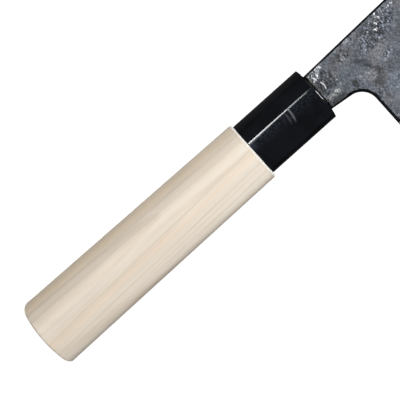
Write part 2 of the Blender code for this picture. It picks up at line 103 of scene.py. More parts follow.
def cubic(start: Point, handle_a: Point, handle_b: Point, end: Point, steps: int) -> Outline:
    """Draw a cubic curve.

    Args:
        start: first point.
        handle_a: handle of the first point.
        handle_b: handle of the last point.
        end: last point, which is left out.
        steps: number of points.

    Returns:
        The points from start up to but without end.
    """
    points = []
    for i in range(steps):
        t = i / steps
        s = 1 - t
        weights = (s**3, 3 * s * s * t, 3 * s * t * t, t**3)
        knots = (start, handle_a, handle_b, end)
        points.append(tuple(sum(w * k[a] for w, k in zip(weights, knots)) for a in (0, 1)))
    return points


def quadratic(start: Point, middle: Point, end: Point, steps: int) -> Outline:
    """Draw a quadratic curve, from start up to but without end, as a cubic one.

    Args:
        start: first point.
        middle: the point that pulls the curve.
        end: last point, which is left out.
        steps: number of points.

    Returns:
        The points.
    """
    near = tuple(a + 2 * (b - a) / 3 for a, b in zip(start, middle))
    far = tuple(a + 2 * (b - a) / 3 for a, b in zip(end, middle))
    return cubic(start, near, far, end, steps)


def toward(start: Point, target: Point, distance: float) -> Point:
    """Return the point that lies a distance from start on the way to target."""
    span = math.dist(start, target)
    return tuple(a + (b - a) * distance / span for a, b in zip(start, target))


def along(start: Point, end: Point, spacing: float) -> Outline:
    """Return points from start up to but without end, about a spacing apart."""
    count = max(1, round(math.dist(start, end) / spacing))
    return [tuple(a + (b - a) * i / count for a, b in zip(start, end)) for i in range(count)]


def d_section(height: float, width: float, softness: float) -> Outline:
    """Draw the handle's outline across its axis.

    Args:
        height: full height of the section.
        width: full width of the section.
        softness: reach of the ridge's rounding each way, as a share of the width.

    Returns:
        The (y, z) points from the top round the right side.
    """

    def at(share: Point) -> Point:
        """Return the point at a share of half the width and half the height."""
        return (share[0] * width / 2, share[1] * height / 2)

    ridge_top = toward(at(RIDGE), at(SLOPE[1]), softness * width)
    ridge_foot = toward(at(RIDGE), at(FLANK[0]), softness * width)
    points = cubic(at(TOP), at(SLOPE[0]), at(SLOPE[1]), ridge_top, 24)
    points += quadratic(ridge_top, at(RIDGE), ridge_foot, 16)
    points += cubic(ridge_foot, at(FLANK[0]), at(FLANK[1]), at(FOOT), 32)
    points += cubic(at(FOOT), at(LEFT_FOOT[0]), at(LEFT_FOOT[1]), at(LEFT), 28)
    return points + cubic(at(LEFT), at(LEFT_TOP[0]), at(LEFT_TOP[1]), at(TOP), 28)


def oval_in_step(height: float, width: float, section: Outline) -> Outline:
    """Draw an ellipse whose points stand at the same angles as a section's points.

    Args:
        height: full height of the ellipse.
        width: full width of the ellipse.
        section: the outline to keep step with.

    Returns:
        The (y, z) points, one for each of the section's.
    """
    tall = max(z for _, z in section) - min(z for _, z in section)
    wide = max(y for y, _ in section) - min(y for y, _ in section)
    angles = [math.atan2(z / tall, y / wide) for y, z in section]
    return [(width / 2 * math.cos(a), height / 2 * math.sin(a)) for a in angles]


def domed_end(
    section: Callable[[float, float], Outline],
    rim_x: float,
    out: int,
    rim_round: float,
    dome: float,
    half_width: float,
) -> list[Ring]:
    """Draw the rings round a rim's edge and over a low dome.

    Args:
        section: gives the outline at a place along the axis and an inset.
        rim_x: where the dome begins.
        out: 1 towards the tip, -1 towards the butt.
        rim_round: radius of the rim's edge.
        dome: height of the dome.
        half_width: the way in to the dome's top.

    Returns:
        The rings, from the side of the piece to near the dome's top.
    """
    rings = []
    for i in range(RIM_STEPS + 1):
        angle = QUARTER * i / RIM_STEPS
        x = rim_x - out * rim_round * (1 - math.sin(angle))
        rings.append((x, section(x, rim_round * (1 - math.cos(angle)))))
    for i in range(1, DOME_STEPS + 1):
        inset = rim_round + (DOME_REACH * half_width - rim_round) * i / DOME_STEPS
        share = (half_width - inset) / (half_width - rim_round)
        x = rim_x + out * dome * (1 - share**2)
        rings.append((x, section(x, inset)))
    return rings


def smoothstep(low: float, high: float, value: float) -> float:
    """Return the smooth step from 0 at low to 1 at high."""
    t = min(1.0, max(0.0, (value - low) / (high - low)))
    return t * t * (3 - 2 * t)


def strays(waves: Sequence[Triple], x: float) -> float:
    """Return how far a hand-made line strays, from each wave's height, length and row."""
    return sum(rise * noise.noise(Vector((x / length, row, 0.0))) for rise, length, row in waves)


def hex_points(low: Point, high: Point, spacing: float) -> Outline:
    """Return a field of evenly spread points between two corners.

    Args:
        low: lower rear corner.
        high: upper front corner.
        spacing: distance between neighbours.

    Returns:
        The points, row by row.
    """
    points = []
    for j in range(int((high[1] - low[1]) / (spacing * math.sqrt(0.75))) + 1):
        z = low[1] + j * spacing * math.sqrt(0.75)
        x = low[0] + (spacing / 2 if j % 2 else 0.0)
        while x < high[0]:
            points.append((x, z))
            x += spacing
    return points


# Modelling by hand's steps


def deselect_all() -> None:
    """Leave no object selected, with Blender in object mode."""
    if bpy.context.object is not None and bpy.context.object.mode != "OBJECT":
        bpy.ops.object.mode_set(mode="OBJECT")
    bpy.ops.object.select_all(action="DESELECT")


def activate(obj: bpy.types.Object) -> None:
    """Make an object the only selected one, and the active one.

    Args:
        obj: the object.
    """
    deselect_all()
    obj.select_set(True)
    bpy.context.view_layer.objects.active = obj


def weld(obj: bpy.types.Object) -> None:
    """Merge a piece's doubled points and point its faces outwards.

    Args:
        obj: the piece.
    """
    activate(obj)
    bpy.ops.object.mode_set(mode="EDIT")
    bpy.ops.mesh.select_all(action="SELECT")
    bpy.ops.mesh.remove_doubles(threshold=MERGE)
    bpy.ops.mesh.normals_make_consistent(inside=False)
    bpy.ops.object.mode_set(mode="OBJECT")


def place(obj: bpy.types.Object, smooth_degrees: float) -> bpy.types.Object:
    """Finish a piece drawn in the handle's frame.

    Args:
        obj: the piece.
        smooth_degrees: edges sharper than this stay sharp.

    Returns:
        The piece, with its place in its mesh and its faces pointing outwards.
    """
    weld(obj)
    obj.location = HANDLE_ORIGIN
    bpy.ops.object.transform_apply(location=True, rotation=False, scale=False)
    bpy.ops.object.shade_smooth_by_angle(angle=math.radians(smooth_degrees))
    return obj


class DrawnBody:
    """A closed body drawn out ring by ring from a filled circle, by extrude and place."""

    def __init__(self, name: str, start: Ring) -> None:
        """Begin with a filled circle that is shaped to the first ring.

        Args:
            name: name of the piece.
            start: place along the axis and outline of the first ring.
        """
        deselect_all()
        bpy.ops.mesh.primitive_circle_add(
            vertices=len(start[1]), radius=0.01, fill_type="NGON", rotation=(0, QUARTER, 0)
        )
        self.obj = bpy.context.object
        self.obj.name = self.obj.data.name = name
        bpy.ops.object.transform_apply(location=True, rotation=True, scale=True)
        self.start = start
        bpy.ops.object.mode_set(mode="EDIT")
        bm = bmesh.from_edit_mesh(self.obj.data)
        station = bm.verts.layers.int.new("station")
        for i, vert in enumerate(bm.verts):
            vert[station] = i
            vert.co = (start[0], *start[1][i])
        bmesh.update_edit_mesh(self.obj.data)
        bpy.ops.mesh.select_all(action="SELECT")

    def draw(self, rings: Sequence[Ring], arch: Callable[[float], float] | None = None) -> None:
        """Extrude the selected face through rings.

        Args:
            rings: places along the axis and outlines, each as long as the first.
            arch: gives how far a point is pushed forward at its height.
        """
        for x, outline in rings:
            bpy.ops.mesh.extrude_region_move(TRANSFORM_OT_translate={"value": (0, 0, 0)})
            bm = bmesh.from_edit_mesh(self.obj.data)
            station = bm.verts.layers.int["station"]
            for vert in bm.verts:
                if vert.select:
                    y, z = outline[vert[station]]
                    vert.co = (x + (arch(z) if arch else 0.0), y, z)
            bmesh.update_edit_mesh(self.obj.data)

    def turn_to_start(self) -> None:
        """Select the face of the first ring instead, to draw a hollow from it."""
        bpy.ops.mesh.select_all(action="DESELECT")
        bm = bmesh.from_edit_mesh(self.obj.data)
        x, outline = self.start
        for face in bm.faces:
            at_start = abs(face.calc_center_median().x - x) < MERGE
            if at_start and len(face.verts) == len(outline):
                face.select_set(True)
        bm.select_flush_mode()
        bmesh.update_edit_mesh(self.obj.data)

    def done(self) -> bpy.types.Object:
        """Leave edit mode and return the piece."""
        bpy.ops.object.mode_set(mode="OBJECT")
        return self.obj


def rounded_block(low: Vector, high: Vector, corner: float) -> bpy.types.Object:
    """Add a cube, size it between two corners, and bevel its four edges along X.

    Args:
        low: lower corner.
        high: upper corner.
        corner: radius of the edges.

    Returns:
        The block.
    """
    deselect_all()
    bpy.ops.mesh.primitive_cube_add(size=1, location=(low + high) / 2)
    obj = bpy.context.object
    obj.scale = high - low
    bpy.ops.object.transform_apply(location=True, rotation=True, scale=True)
    bpy.ops.object.mode_set(mode="EDIT")
    bpy.ops.mesh.select_all(action="DESELECT")
    bm = bmesh.from_edit_mesh(obj.data)
    for edge in bm.edges:
        if abs(edge.verts[0].co.x - edge.verts[1].co.x) > MERGE:
            edge.select_set(True)
    bmesh.update_edit_mesh(obj.data)
    bpy.ops.mesh.bevel(offset=corner, segments=8)
    bpy.ops.object.mode_set(mode="OBJECT")
    return obj


def cut(obj: bpy.types.Object, cutter: bpy.types.Object) -> None:
    """Take one object's shape out of another, and remove the cutter.

    Args:
        obj: what is cut.
        cutter: the shape to take out.
    """
    activate(obj)
    boolean = obj.modifiers.new("cut", "BOOLEAN")
    boolean.operation = "DIFFERENCE"
    boolean.solver = "EXACT"
    boolean.object = cutter
    bpy.ops.object.modifier_apply(modifier=boolean.name)
    bpy.data.objects.remove(cutter, do_unlink=True)


def filled_plan(
    name: str, outline: Outline, lines: list[Outline], inner: Outline
) -> bpy.types.Object:
    """Fill a flat outline with even triangles, which no operator by hand gives.

    Args:
        name: name of the new object.
        outline: closed outline.
        lines: open lines that the triangles follow.
        inner: loose points inside.

    Returns:
        The new object, a flat sheet at y zero, with (x, z) from the points.
    """
    points: list[Vector] = []
    edges: list[tuple[int, int]] = []
    for path in [outline, *lines]:
        first = len(points)
        points += [Vector((x / MM, z / MM)) for x, z in path]
        edges += [(i, i + 1) for i in range(first, len(points) - 1)]
        if path is outline:
            edges.append((len(points) - 1, first))
    points += [Vector((x / MM, z / MM)) for x, z in inner]
    flat, _, faces, *_ = delaunay_2d_cdt(points, edges, [], 1, 1e-5)
    mesh = bpy.data.meshes.new(name)
    mesh.from_pydata([(p.x * MM, 0.0, p.y * MM) for p in flat], [], faces)
    obj = bpy.data.objects.new(name, mesh)
    bpy.context.scene.collection.objects.link(obj)
    return obj


def extrude_sheet(obj: bpy.types.Object, near_y: Shape, far_y: Shape) -> None:
    """Extrude a flat sheet to a closed plate and shape its two sides.

    Args:
        obj: the sheet, at y zero.
        near_y: gives y from x and z for the side that stays.
        far_y: gives y from x and z for the extruded side.
    """
    activate(obj)
    bpy.ops.object.mode_set(mode="EDIT")
    bpy.ops.mesh.select_all(action="SELECT")
    bpy.ops.mesh.extrude_region_move(TRANSFORM_OT_translate={"value": (0, 0, 0)})
    bm = bmesh.from_edit_mesh(obj.data)
    for vert in bm.verts:
        shape = far_y if vert.select else near_y
        vert.co.y = shape(vert.co.x, vert.co.z)
    bmesh.update_edit_mesh(obj.data)
    weld(obj)


def store(obj: bpy.types.Object, name: str, values: Sequence[float]) -> None:
    """Store a number for each point of a piece, for its material to read."""
    obj.data.attributes.new(name, "FLOAT", "POINT").data.foreach_set("value", values)


# Node trees


class Num:
    """A number in a node tree, on which Python's operators add Math nodes."""

    def __init__(self, tree: "Tree", socket: bpy.types.NodeSocket) -> None:
        """Keep the tree and the socket that gives the number."""
        self.tree, self.socket = tree, socket

    def __add__(self, other: "Num | float") -> "Num":
        """Add another number."""
        return self.tree.math("ADD", self, other)

    def __sub__(self, other: "Num | float") -> "Num":
        """Take another number away."""
        return self.tree.math("SUBTRACT", self, other)

    def __rsub__(self, other: float) -> "Num":
        """Take this number away from a plain one."""
        return self.tree.math("SUBTRACT", other, self)

    def __mul__(self, other: "Num | float") -> "Num":
        """Multiply by another number."""
        return self.tree.math("MULTIPLY", self, other)

    def __truediv__(self, other: "Num | float") -> "Num":
        """Divide by another number."""
        return self.tree.math("DIVIDE", self, other)

    def __rtruediv__(self, other: float) -> "Num":
        """Divide a plain number by this one."""
        return self.tree.math("DIVIDE", other, self)

    def __or__(self, other: "Num | float") -> "Num":
        """Give the greater one, as of two masks."""
        return self.tree.math("MAXIMUM", self, other)

    def __lt__(self, other: float) -> "Num":
        """Give 1 where this number is the lesser one, and else 0."""
        return self.tree.math("LESS_THAN", self, other)

    def __abs__(self) -> "Num":
        """Give the size without the sign."""
        return self.tree.math("ABSOLUTE", self)


Value = Num | float
Tone = bpy.types.NodeSocket | Colour


class Tree:
    """Short forms for building a shader node tree."""

    def __init__(self, tree: bpy.types.NodeTree) -> None:
        """Keep the tree."""
        self.tree = tree

    def add(self, kind: str, inputs: dict | None = None, **settings: str) -> bpy.types.Node:
        """Add a node.

        Args:
            kind: node type without the word ShaderNode.
            inputs: input name or index to a value or a socket to link.
            settings: properties of the node.

        Returns:
            The new node.
        """
        node = self.tree.nodes.new("ShaderNode" + kind)
        for name, value in settings.items():
            setattr(node, name, value)
        for key, value in (inputs or {}).items():
            self.put(node.inputs[key], value)
        return node

    def put(self, socket: bpy.types.NodeSocket, value: Value | Tone) -> None:
        """Give an input a value, or link another node's output to it.

        Args:
            socket: the input.
            value: a plain value, a number or another node's output.
        """
        value = value.socket if isinstance(value, Num) else value
        if isinstance(value, bpy.types.NodeSocket):
            self.tree.links.new(value, socket)
        elif socket.type == "RGBA" and len(value) == 3:
            socket.default_value = (*value, 1.0)
        else:
            socket.default_value = value

    def math(self, operation: str, a: Value, b: Value = 0.0) -> Num:
        """Return the result of a sum on one or two numbers."""
        return Num(self, self.add("Math", {0: a, 1: b}, operation=operation).outputs[0])

    def mix(self, factor: Value, a: Tone, b: Tone, blend: str = "MIX") -> bpy.types.NodeSocket:
        """Return a mix of two colours."""
        node = self.add("Mix", {0: factor, 6: a, 7: b}, data_type="RGBA", blend_type=blend)
        return node.outputs[2]

    def tint(self, tone: Tone, colour: Tone, factor: Value = 1.0) -> bpy.types.NodeSocket:
        """Return a tone multiplied by another one, as far as a factor says."""
        return self.mix(factor, tone, colour, "MULTIPLY")

    def blend(self, factor: Value, a: Value, b: Value) -> Num:
        """Return a mix of two numbers."""
        return Num(self, self.add("Mix", {0: factor, 2: a, 3: b}, data_type="FLOAT").outputs[0])

    def noise(
        self,
        vector: bpy.types.NodeSocket,
        scale: Value | Triple,
        detail: float = 3.0,
        rough: float = 0.5,
        bend: float = 0.0,
    ) -> Num:
        """Return the value of a noise texture, whose scale may differ along X, Y and Z.

        Args:
            vector: where to read the texture.
            scale: scale, or one for each of X, Y and Z.
            detail: number of finer layers.
            rough: weight of the finer layers.
            bend: how much the texture distorts itself.

        Returns:
            The value, from 0 to 1.
        """
        if isinstance(scale, tuple):
            vector, scale = self.mapped(vector, scale=scale), 1.0
        values = {"Vector": vector, "Scale": scale, "Detail": detail}
        values |= {"Roughness": rough, "Distortion": bend}
        return Num(self, self.add("TexNoise", values).outputs["Fac"])

    def noise_1d(self, value: Value, scale: float) -> Num:
        """Return the value of a noise texture along one number."""
        values = {"W": value, "Scale": scale, "Detail": 2.0}
        return Num(self, self.add("TexNoise", values, noise_dimensions="1D").outputs["Fac"])

    def cells(self, vector: bpy.types.NodeSocket, scale: Triple) -> Num:
        """Return a chance number for each cell of a Voronoi texture."""
        texture = self.add("TexVoronoi", {"Vector": self.mapped(vector, scale=scale), "Scale": 1.0})
        return Num(self, self.add("SeparateColor", {0: texture.outputs["Color"]}).outputs[0])

    def span(
        self, value: Value, low: Value, high: Value, to_low: float = 0.0, to_high: float = 1.0
    ) -> Num:
        """Return a value carried smoothly from one range to another and held at its ends.

        Args:
            value: the value.
            low: start of its range.
            high: end of its range.
            to_low: result up to the start.
            to_high: result from the end on.

        Returns:
            The result.
        """
        inputs = {"Value": value, 1: low, 2: high, 3: to_low, 4: to_high}
        node = self.add("MapRange", inputs, interpolation_type="SMOOTHSTEP")
        return Num(self, node.outputs[0])

    def fall(self, value: Value, low: float, high: float) -> Num:
        """Return 1 up to low, 0 from high on, and a smooth fall between them."""
        return self.span(value, low, high, 1.0, 0.0)

    def mapped(
        self,
        vector: bpy.types.NodeSocket,
        place: Triple = (0, 0, 0),
        turn: Triple = (0, 0, 0),
        scale: Triple = (1, 1, 1),
    ) -> bpy.types.NodeSocket:
        """Return a vector through a Mapping node.

        Args:
            vector: the vector.
            place: what is added to it.
            turn: its rotation in radians.
            scale: its scale.

        Returns:
            The result.
        """
        inputs = {"Vector": vector, "Location": place, "Rotation": turn, "Scale": scale}
        return self.add("Mapping", inputs).outputs[0]

    def split(self, vector: bpy.types.NodeSocket) -> list[Num]:
        """Return the three numbers of a vector."""
        return [Num(self, part) for part in self.add("SeparateXYZ", {0: vector}).outputs]

    def mark(self, name: str) -> Num:
        """Return a number that the piece keeps for each of its points."""
        return Num(self, self.add("Attribute", attribute_name=name).outputs["Fac"])

    def grey(self, value: Num, low: float, high: float) -> bpy.types.NodeSocket:
        """Return a grey colour of a value, held between two limits."""
        held = self.math("MINIMUM", value | low, high)
        return self.add("CombineColor", {0: held, 1: held, 2: held}).outputs[0]

    def bump(self, strength: float, distance: float, height: Num) -> bpy.types.NodeSocket:
        """Return the normal of a bumpy surface."""
        inputs = {"Strength": strength, "Distance": distance, "Height": height}
        return self.add("Bump", inputs).outputs[0]

    def group(self, group: bpy.types.NodeTree, **inputs: Value | Tone) -> dict[str, Num]:
        """Place a node group with its own values and return its outputs by name.

        Args:
            group: the node group.
            inputs: a value or an output for each input.

        Returns:
            The outputs by name.
        """
        node = self.tree.nodes.new("ShaderNodeGroup")
        node.node_tree = group
        for key, value in inputs.items():
            self.put(node.inputs[key], value)
        return {output.name: Num(self, output) for output in node.outputs}


class Group(Tree):
    """The tree of a shader node group, with a vector and some numbers coming in."""

    def __init__(self, name: str, inputs: dict[str, float], outputs: Sequence[str]) -> None:
        """Start the group.

        Args:
            name: name of the group.
            inputs: name and default of each number, besides the vector.
            outputs: names of the numbers that it gives.
        """
        super().__init__(bpy.data.node_groups.new(name, "ShaderNodeTree"))
        sockets = self.tree.interface
        sockets.new_socket("Vector", in_out="INPUT", socket_type="NodeSocketVector")
        for key, value in inputs.items():
            socket = sockets.new_socket(key, in_out="INPUT", socket_type="NodeSocketFloat")
            socket.default_value = value
        for key in outputs:
            sockets.new_socket(key, in_out="OUTPUT", socket_type="NodeSocketFloat")
        source = self.tree.nodes.new("NodeGroupInput")
        self.sink = self.tree.nodes.new("NodeGroupOutput")
        self.vector = source.outputs["Vector"]
        self.given = [Num(self, source.outputs[key]) for key in inputs]

    def give(self, **values: Num) -> bpy.types.NodeTree:
        """Link the outputs and return the finished group.

        Args:
            values: the number for each output.

        Returns:
            The group.
        """
        for key, value in values.items():
            self.put(self.sink.inputs[key], value)
        return self.tree


class Surface(Tree):
    """The tree of a new material."""

    def __init__(self, name: str) -> None:
        """Start a material of a name.

        Args:
            name: name of the material.
        """
        self.material = bpy.data.materials.new(name)
        self.material.use_nodes = True
        super().__init__(self.material.node_tree)

    @cached_property
    def vector(self) -> bpy.types.NodeSocket:
        """The Object coordinates in the handle's frame."""
        vector = self.add("TexCoord").outputs["Object"]
        return self.mapped(vector, place=tuple(-HANDLE_ORIGIN))

    def shade(self, values: dict[str, Value | Tone]) -> bpy.types.Material:
        """Set or link inputs of the Principled shader and return the material.

        Args:
            values: input name to a value or an output.

        Returns:
            The material.
        """
        shader = self.tree.nodes["Principled BSDF"]
        for key, value in values.items():
            self.put(shader.inputs[key], value)
        return self.material


class Effects:
    """Node groups that more than one finish uses, each built once."""

    def __init__(self) -> None:
        """Build the groups."""
        self.grain = self.build_grain()
        self.mottle = self.build_mottle()
        self.scratches = self.build_scratches()

    def build_grain(self) -> bpy.types.NodeTree:
        """Build the grain of straight-grown wood.

        Returns:
            A group with masks for growth lines, broad bands, fibres and pores along X.
        """
        outputs = ("Lines", "Bands", "Fibres", "Pores")
        tree = Group("wood_grain", {"Spacing": 0.0011, "Slant": 0.03}, outputs)
        vector = tree.vector
        spacing, slant = tree.given
        x, y, z = tree.split(vector)
        drift = tree.noise(vector, (12, 60, 60), 2.0)
        across = (y * 0.90 - z * 0.42 + x * slant + drift * 0.0030) / spacing
        steps = across + tree.noise_1d(across, 0.33) * 2.6
        saw = tree.math("FRACT", steps)
        line = tree.span(saw, 0.45, 0.93) * tree.fall(saw, 0.93, 1.0)
        weight = tree.noise_1d(tree.math("FLOOR", steps) * 7.31, 1.0)
        fade = tree.span(tree.noise(vector, (40, 300, 300), 2.0), 0.3, 0.6, 0.35, 1.0)
        return tree.give(
            Lines=line * (tree.span(weight, 0.36, 0.70, 0.12, 1.0) * fade),
            Bands=tree.span(tree.noise_1d(across, 0.16), 0.35, 0.65),
            Fibres=tree.span(tree.noise(vector, (70, 2600, 2600), 3.0, 0.6), 0.3, 0.7),
            Pores=tree.span(tree.noise(vector, (420, 5200, 5200), 1.0), 0.64, 0.74),
        )

    def build_mottle(self) -> bpy.types.NodeTree:
        """Build a cloudy mask of two sizes.

        Returns:
            A group with one smooth mask, and one broken up by finer noise.
        """
        tree = Group("cloudy_mottle", {"Size": 0.005, "Edge": 0.1}, ("Clouds", "Broken"))
        size, edge = tree.given
        scale = 1.0 / size
        low, high = 0.5 - edge, edge + 0.5
        clouds = tree.noise(tree.vector, scale, 3.0, 0.5, 0.4)
        fine = tree.noise(tree.vector, scale * 6.0, 4.0, 0.65)
        broken = tree.span(clouds + (fine - 0.5) * 0.6, low, high)
        return tree.give(Clouds=tree.span(clouds, low, high), Broken=broken)

    def build_scratches(self) -> bpy.types.NodeTree:
        """Build fine straight scratches along X of the given vector.

        Returns:
            A group with a mask of thin lines, broken along their length.
        """
        inputs = {"Width": 0.0001, "Length": 0.01, "Share": 0.4}
        tree = Group("fine_scratches", inputs, ("Mask",))
        width, length, share = tree.given
        x, y, z = tree.split(tree.vector)
        parts = {0: x / length, 1: y / width, 2: z / width}
        lines = tree.noise(tree.add("CombineXYZ", parts).outputs[0], 1.0, 2.0, 0.6)
        low = 1.0 - share
        return tree.give(Mask=tree.span(lines, low * 0.8, low))


# Finishes


@dataclass(frozen=True)
class Streak:
    """One long streak on the grip's right face, with its heights in millimetres: a growth streak,
    save two bands of painted shade beside the ridge.
    """

    z_front: float
    z_rear: float
    half_width: float
    weight: float


@dataclass(frozen=True)
class Tint:
    """A colour that a part of the wood is multiplied by, where some streaks run."""

    colour: Colour
    streaks: tuple[Streak, ...]


# Where the streaks' heights are given, as places along the axis
STREAK_FRONT_X = -0.033
STREAK_REAR_X = -0.1186

GRIP_TINTS = (
    Tint(
        (0.915, 0.885, 0.850),
        (
            Streak(7.8, 9.1, 0.75, 0.85),
            Streak(5.2, 6.4, 0.60, 0.8),
            # Painted shade along the ridge's upper edge.
            Streak(4.7, 4.4, 0.45, 0.5),
            Streak(0.5, -3.0, 0.60, 1.0),
            Streak(-5.4, -7.9, 0.45, 1.1),
            Streak(-6.9, -9.1, 0.25, 0.4),
            Streak(-8.8, -10.3, 0.45, 0.9),
            Streak(10.6, 11.6, 0.40, 0.4),
            # Painted shade beside the ridge.
            Streak(-0.1, 3.7, 1.70, 0.85),
            Streak(-17.0, -10.0, 2.40, 1.0),
        ),
    ),
    Tint(
        (1.005, 1.025, 1.055),
        (
            Streak(6.8, 8.0, 0.70, 0.9),
            Streak(2.4, -0.2, 2.20, 1.0),
            Streak(-4.7, -7.0, 0.50, 0.7),
            Streak(-7.9, -9.5, 0.40, 0.8),
        ),
    ),
    Tint(
        (1.030, 0.990, 0.948),
        (Streak(-1.7, -4.6, 2.10, 1.0), Streak(9.8, 10.6, 1.20, 0.7)),
    ),
)


@dataclass(frozen=True)
class WoodFinish:
    """Bare, fine-sanded wood with straight grain. Its finish also paints shade on the grip's upper
    slope, along its top edge and towards its butt, and a highlight on the front chamfer.
    """

    name: str
    pale: Colour
    warm: Colour
    line: Colour
    spacing: float
    slant: float
    roughness: float
    chamfer_highlight_from: float
    tints: tuple[Tint, ...] = ()
    # Painted shade: darker towards the butt.
    butt_shade: Colour = (1.0, 1.0, 1.0)
    fibre_tints: tuple[Colour, Colour] = ((0.982, 0.980, 0.976), (1.012, 1.012, 1.012))
    cloud_tints: tuple[Colour, Colour] = ((0.965, 0.955, 0.945), (1.02, 1.02, 1.02))
    # Painted shade: the upper slope darker and the top more saturated.
    slope_shade: Colour = (0.985, 0.975, 0.972)
    top_shade: Colour = (0.995, 0.970, 0.910)
    # Painted shade: a thin dark line along the top edge.
    top_edge_shade: Colour = (0.86, 0.845, 0.82)
    end_tint: Colour = (0.90, 0.865, 0.815)
    # Painted highlight: the front chamfer paler.
    chamfer_highlight: Colour = (0.97, 0.95, 0.90)

    def build(self, effects: Effects) -> bpy.types.Material:
        """Build the material.

        Args:
            effects: the shared node groups.

        Returns:
            The material.
        """
        tree = Surface(self.name)
        vector = tree.vector
        x, _, z = tree.split(vector)
        grain = tree.group(effects.grain, Vector=vector, Spacing=self.spacing, Slant=self.slant)
        lines, fibres, pores = grain["Lines"], grain["Fibres"], grain["Pores"]
        end = tree.mark(END_GRAIN)
        tone = tree.mix(grain["Bands"], self.pale, self.warm)
        tone = tree.mix(lines * tree.blend(end, 0.60, 1.0), tone, self.line)
        tone = tree.tint(tone, tree.mix(fibres, *self.fibre_tints))
        cloud = tree.span(tree.noise(vector, (22, 130, 130), 2.0), 0.3, 0.7)
        tone = tree.tint(tone, tree.mix(cloud, *self.cloud_tints))
        tone = tree.mix(pores * 0.10, tone, self.line)
        for tint in self.tints:
            tone = tree.tint(tone, tint.colour, self.streak_mask(tree, tint.streaks))
        if self.tints:
            # Painted shade on the upper slope and the top.
            tone = tree.tint(tone, self.slope_shade, tree.span(z, 0.0040, 0.0060))
            tone = tree.tint(tone, self.top_shade, tree.span(z, 0.0078, 0.0108))
            # Painted shade along the top edge.
            below_top = x * -0.01039 + 0.01163 - z
            tone = tree.tint(tone, self.top_edge_shade, tree.fall(below_top, 0.0001, 0.0006))
        tone = tree.tint(tone, self.end_tint, end)
        # Painted shade towards the butt.
        tone = tree.tint(tone, self.butt_shade, tree.fall(x, -0.145, -0.020))
        # Painted highlight on the front chamfer.
        chamfer_highlight = tree.span(x, self.chamfer_highlight_from - 0.00003, self.chamfer_highlight_from + 0.00003)
        height = fibres * 0.5 - lines - pores
        return tree.shade(
            {
                "Base Color": tree.mix(chamfer_highlight * 0.8, tone, self.chamfer_highlight),
                "Roughness": tree.blend(lines, self.roughness, self.roughness - 0.08),
                "Normal": tree.bump(0.35, 0.00006, height),
                "Specular IOR Level": 0.32,
            }
        )

    def streak_mask(self, tree: Surface, streaks: Sequence[Streak]) -> Num:
        """Return the mask of long streaks on the right face, which wander a little.

        Args:
            tree: the material's tree.
            streaks: the streaks of one tint.

        Returns:
            The mask.
        """
        x, y, z = tree.split(tree.vector)
        height = z + (tree.noise(tree.vector, (38, 0, 150), 2.0) - 0.5) * 0.0011
        total = None
        for streak in streaks:
            slope = (streak.z_rear - streak.z_front) * MM / (STREAK_REAR_X - STREAK_FRONT_X)
            start = streak.z_front * MM - slope * STREAK_FRONT_X
            gap = abs(height - (x * slope + start))
            mask = tree.span(gap, 0.0, streak.half_width * MM, streak.weight, 0.0)
            total = mask if total is None else total | mask
        broken = tree.span(tree.noise(tree.vector, (55, 0, 700), 2.0), 0.3, 0.6, 0.55, 1.0)
        return total * broken * tree.fall(y, 0.0, 0.002)


@dataclass(frozen=True)
class Scuff:
    """A short curved scuff that runs down from the ferrule's ridge."""

    x: float
    top: float
    length: float
    half_width: float
    weight: float


SCUFFS = (
    Scuff(-0.0113, 0.0031, 0.0066, 0.00062, 0.80),
    Scuff(-0.0132, 0.0023, 0.0052, 0.00052, 0.36),
)
RIGHT_FACE_Y = -0.004  # what lies beyond it is on the ferrule's right face


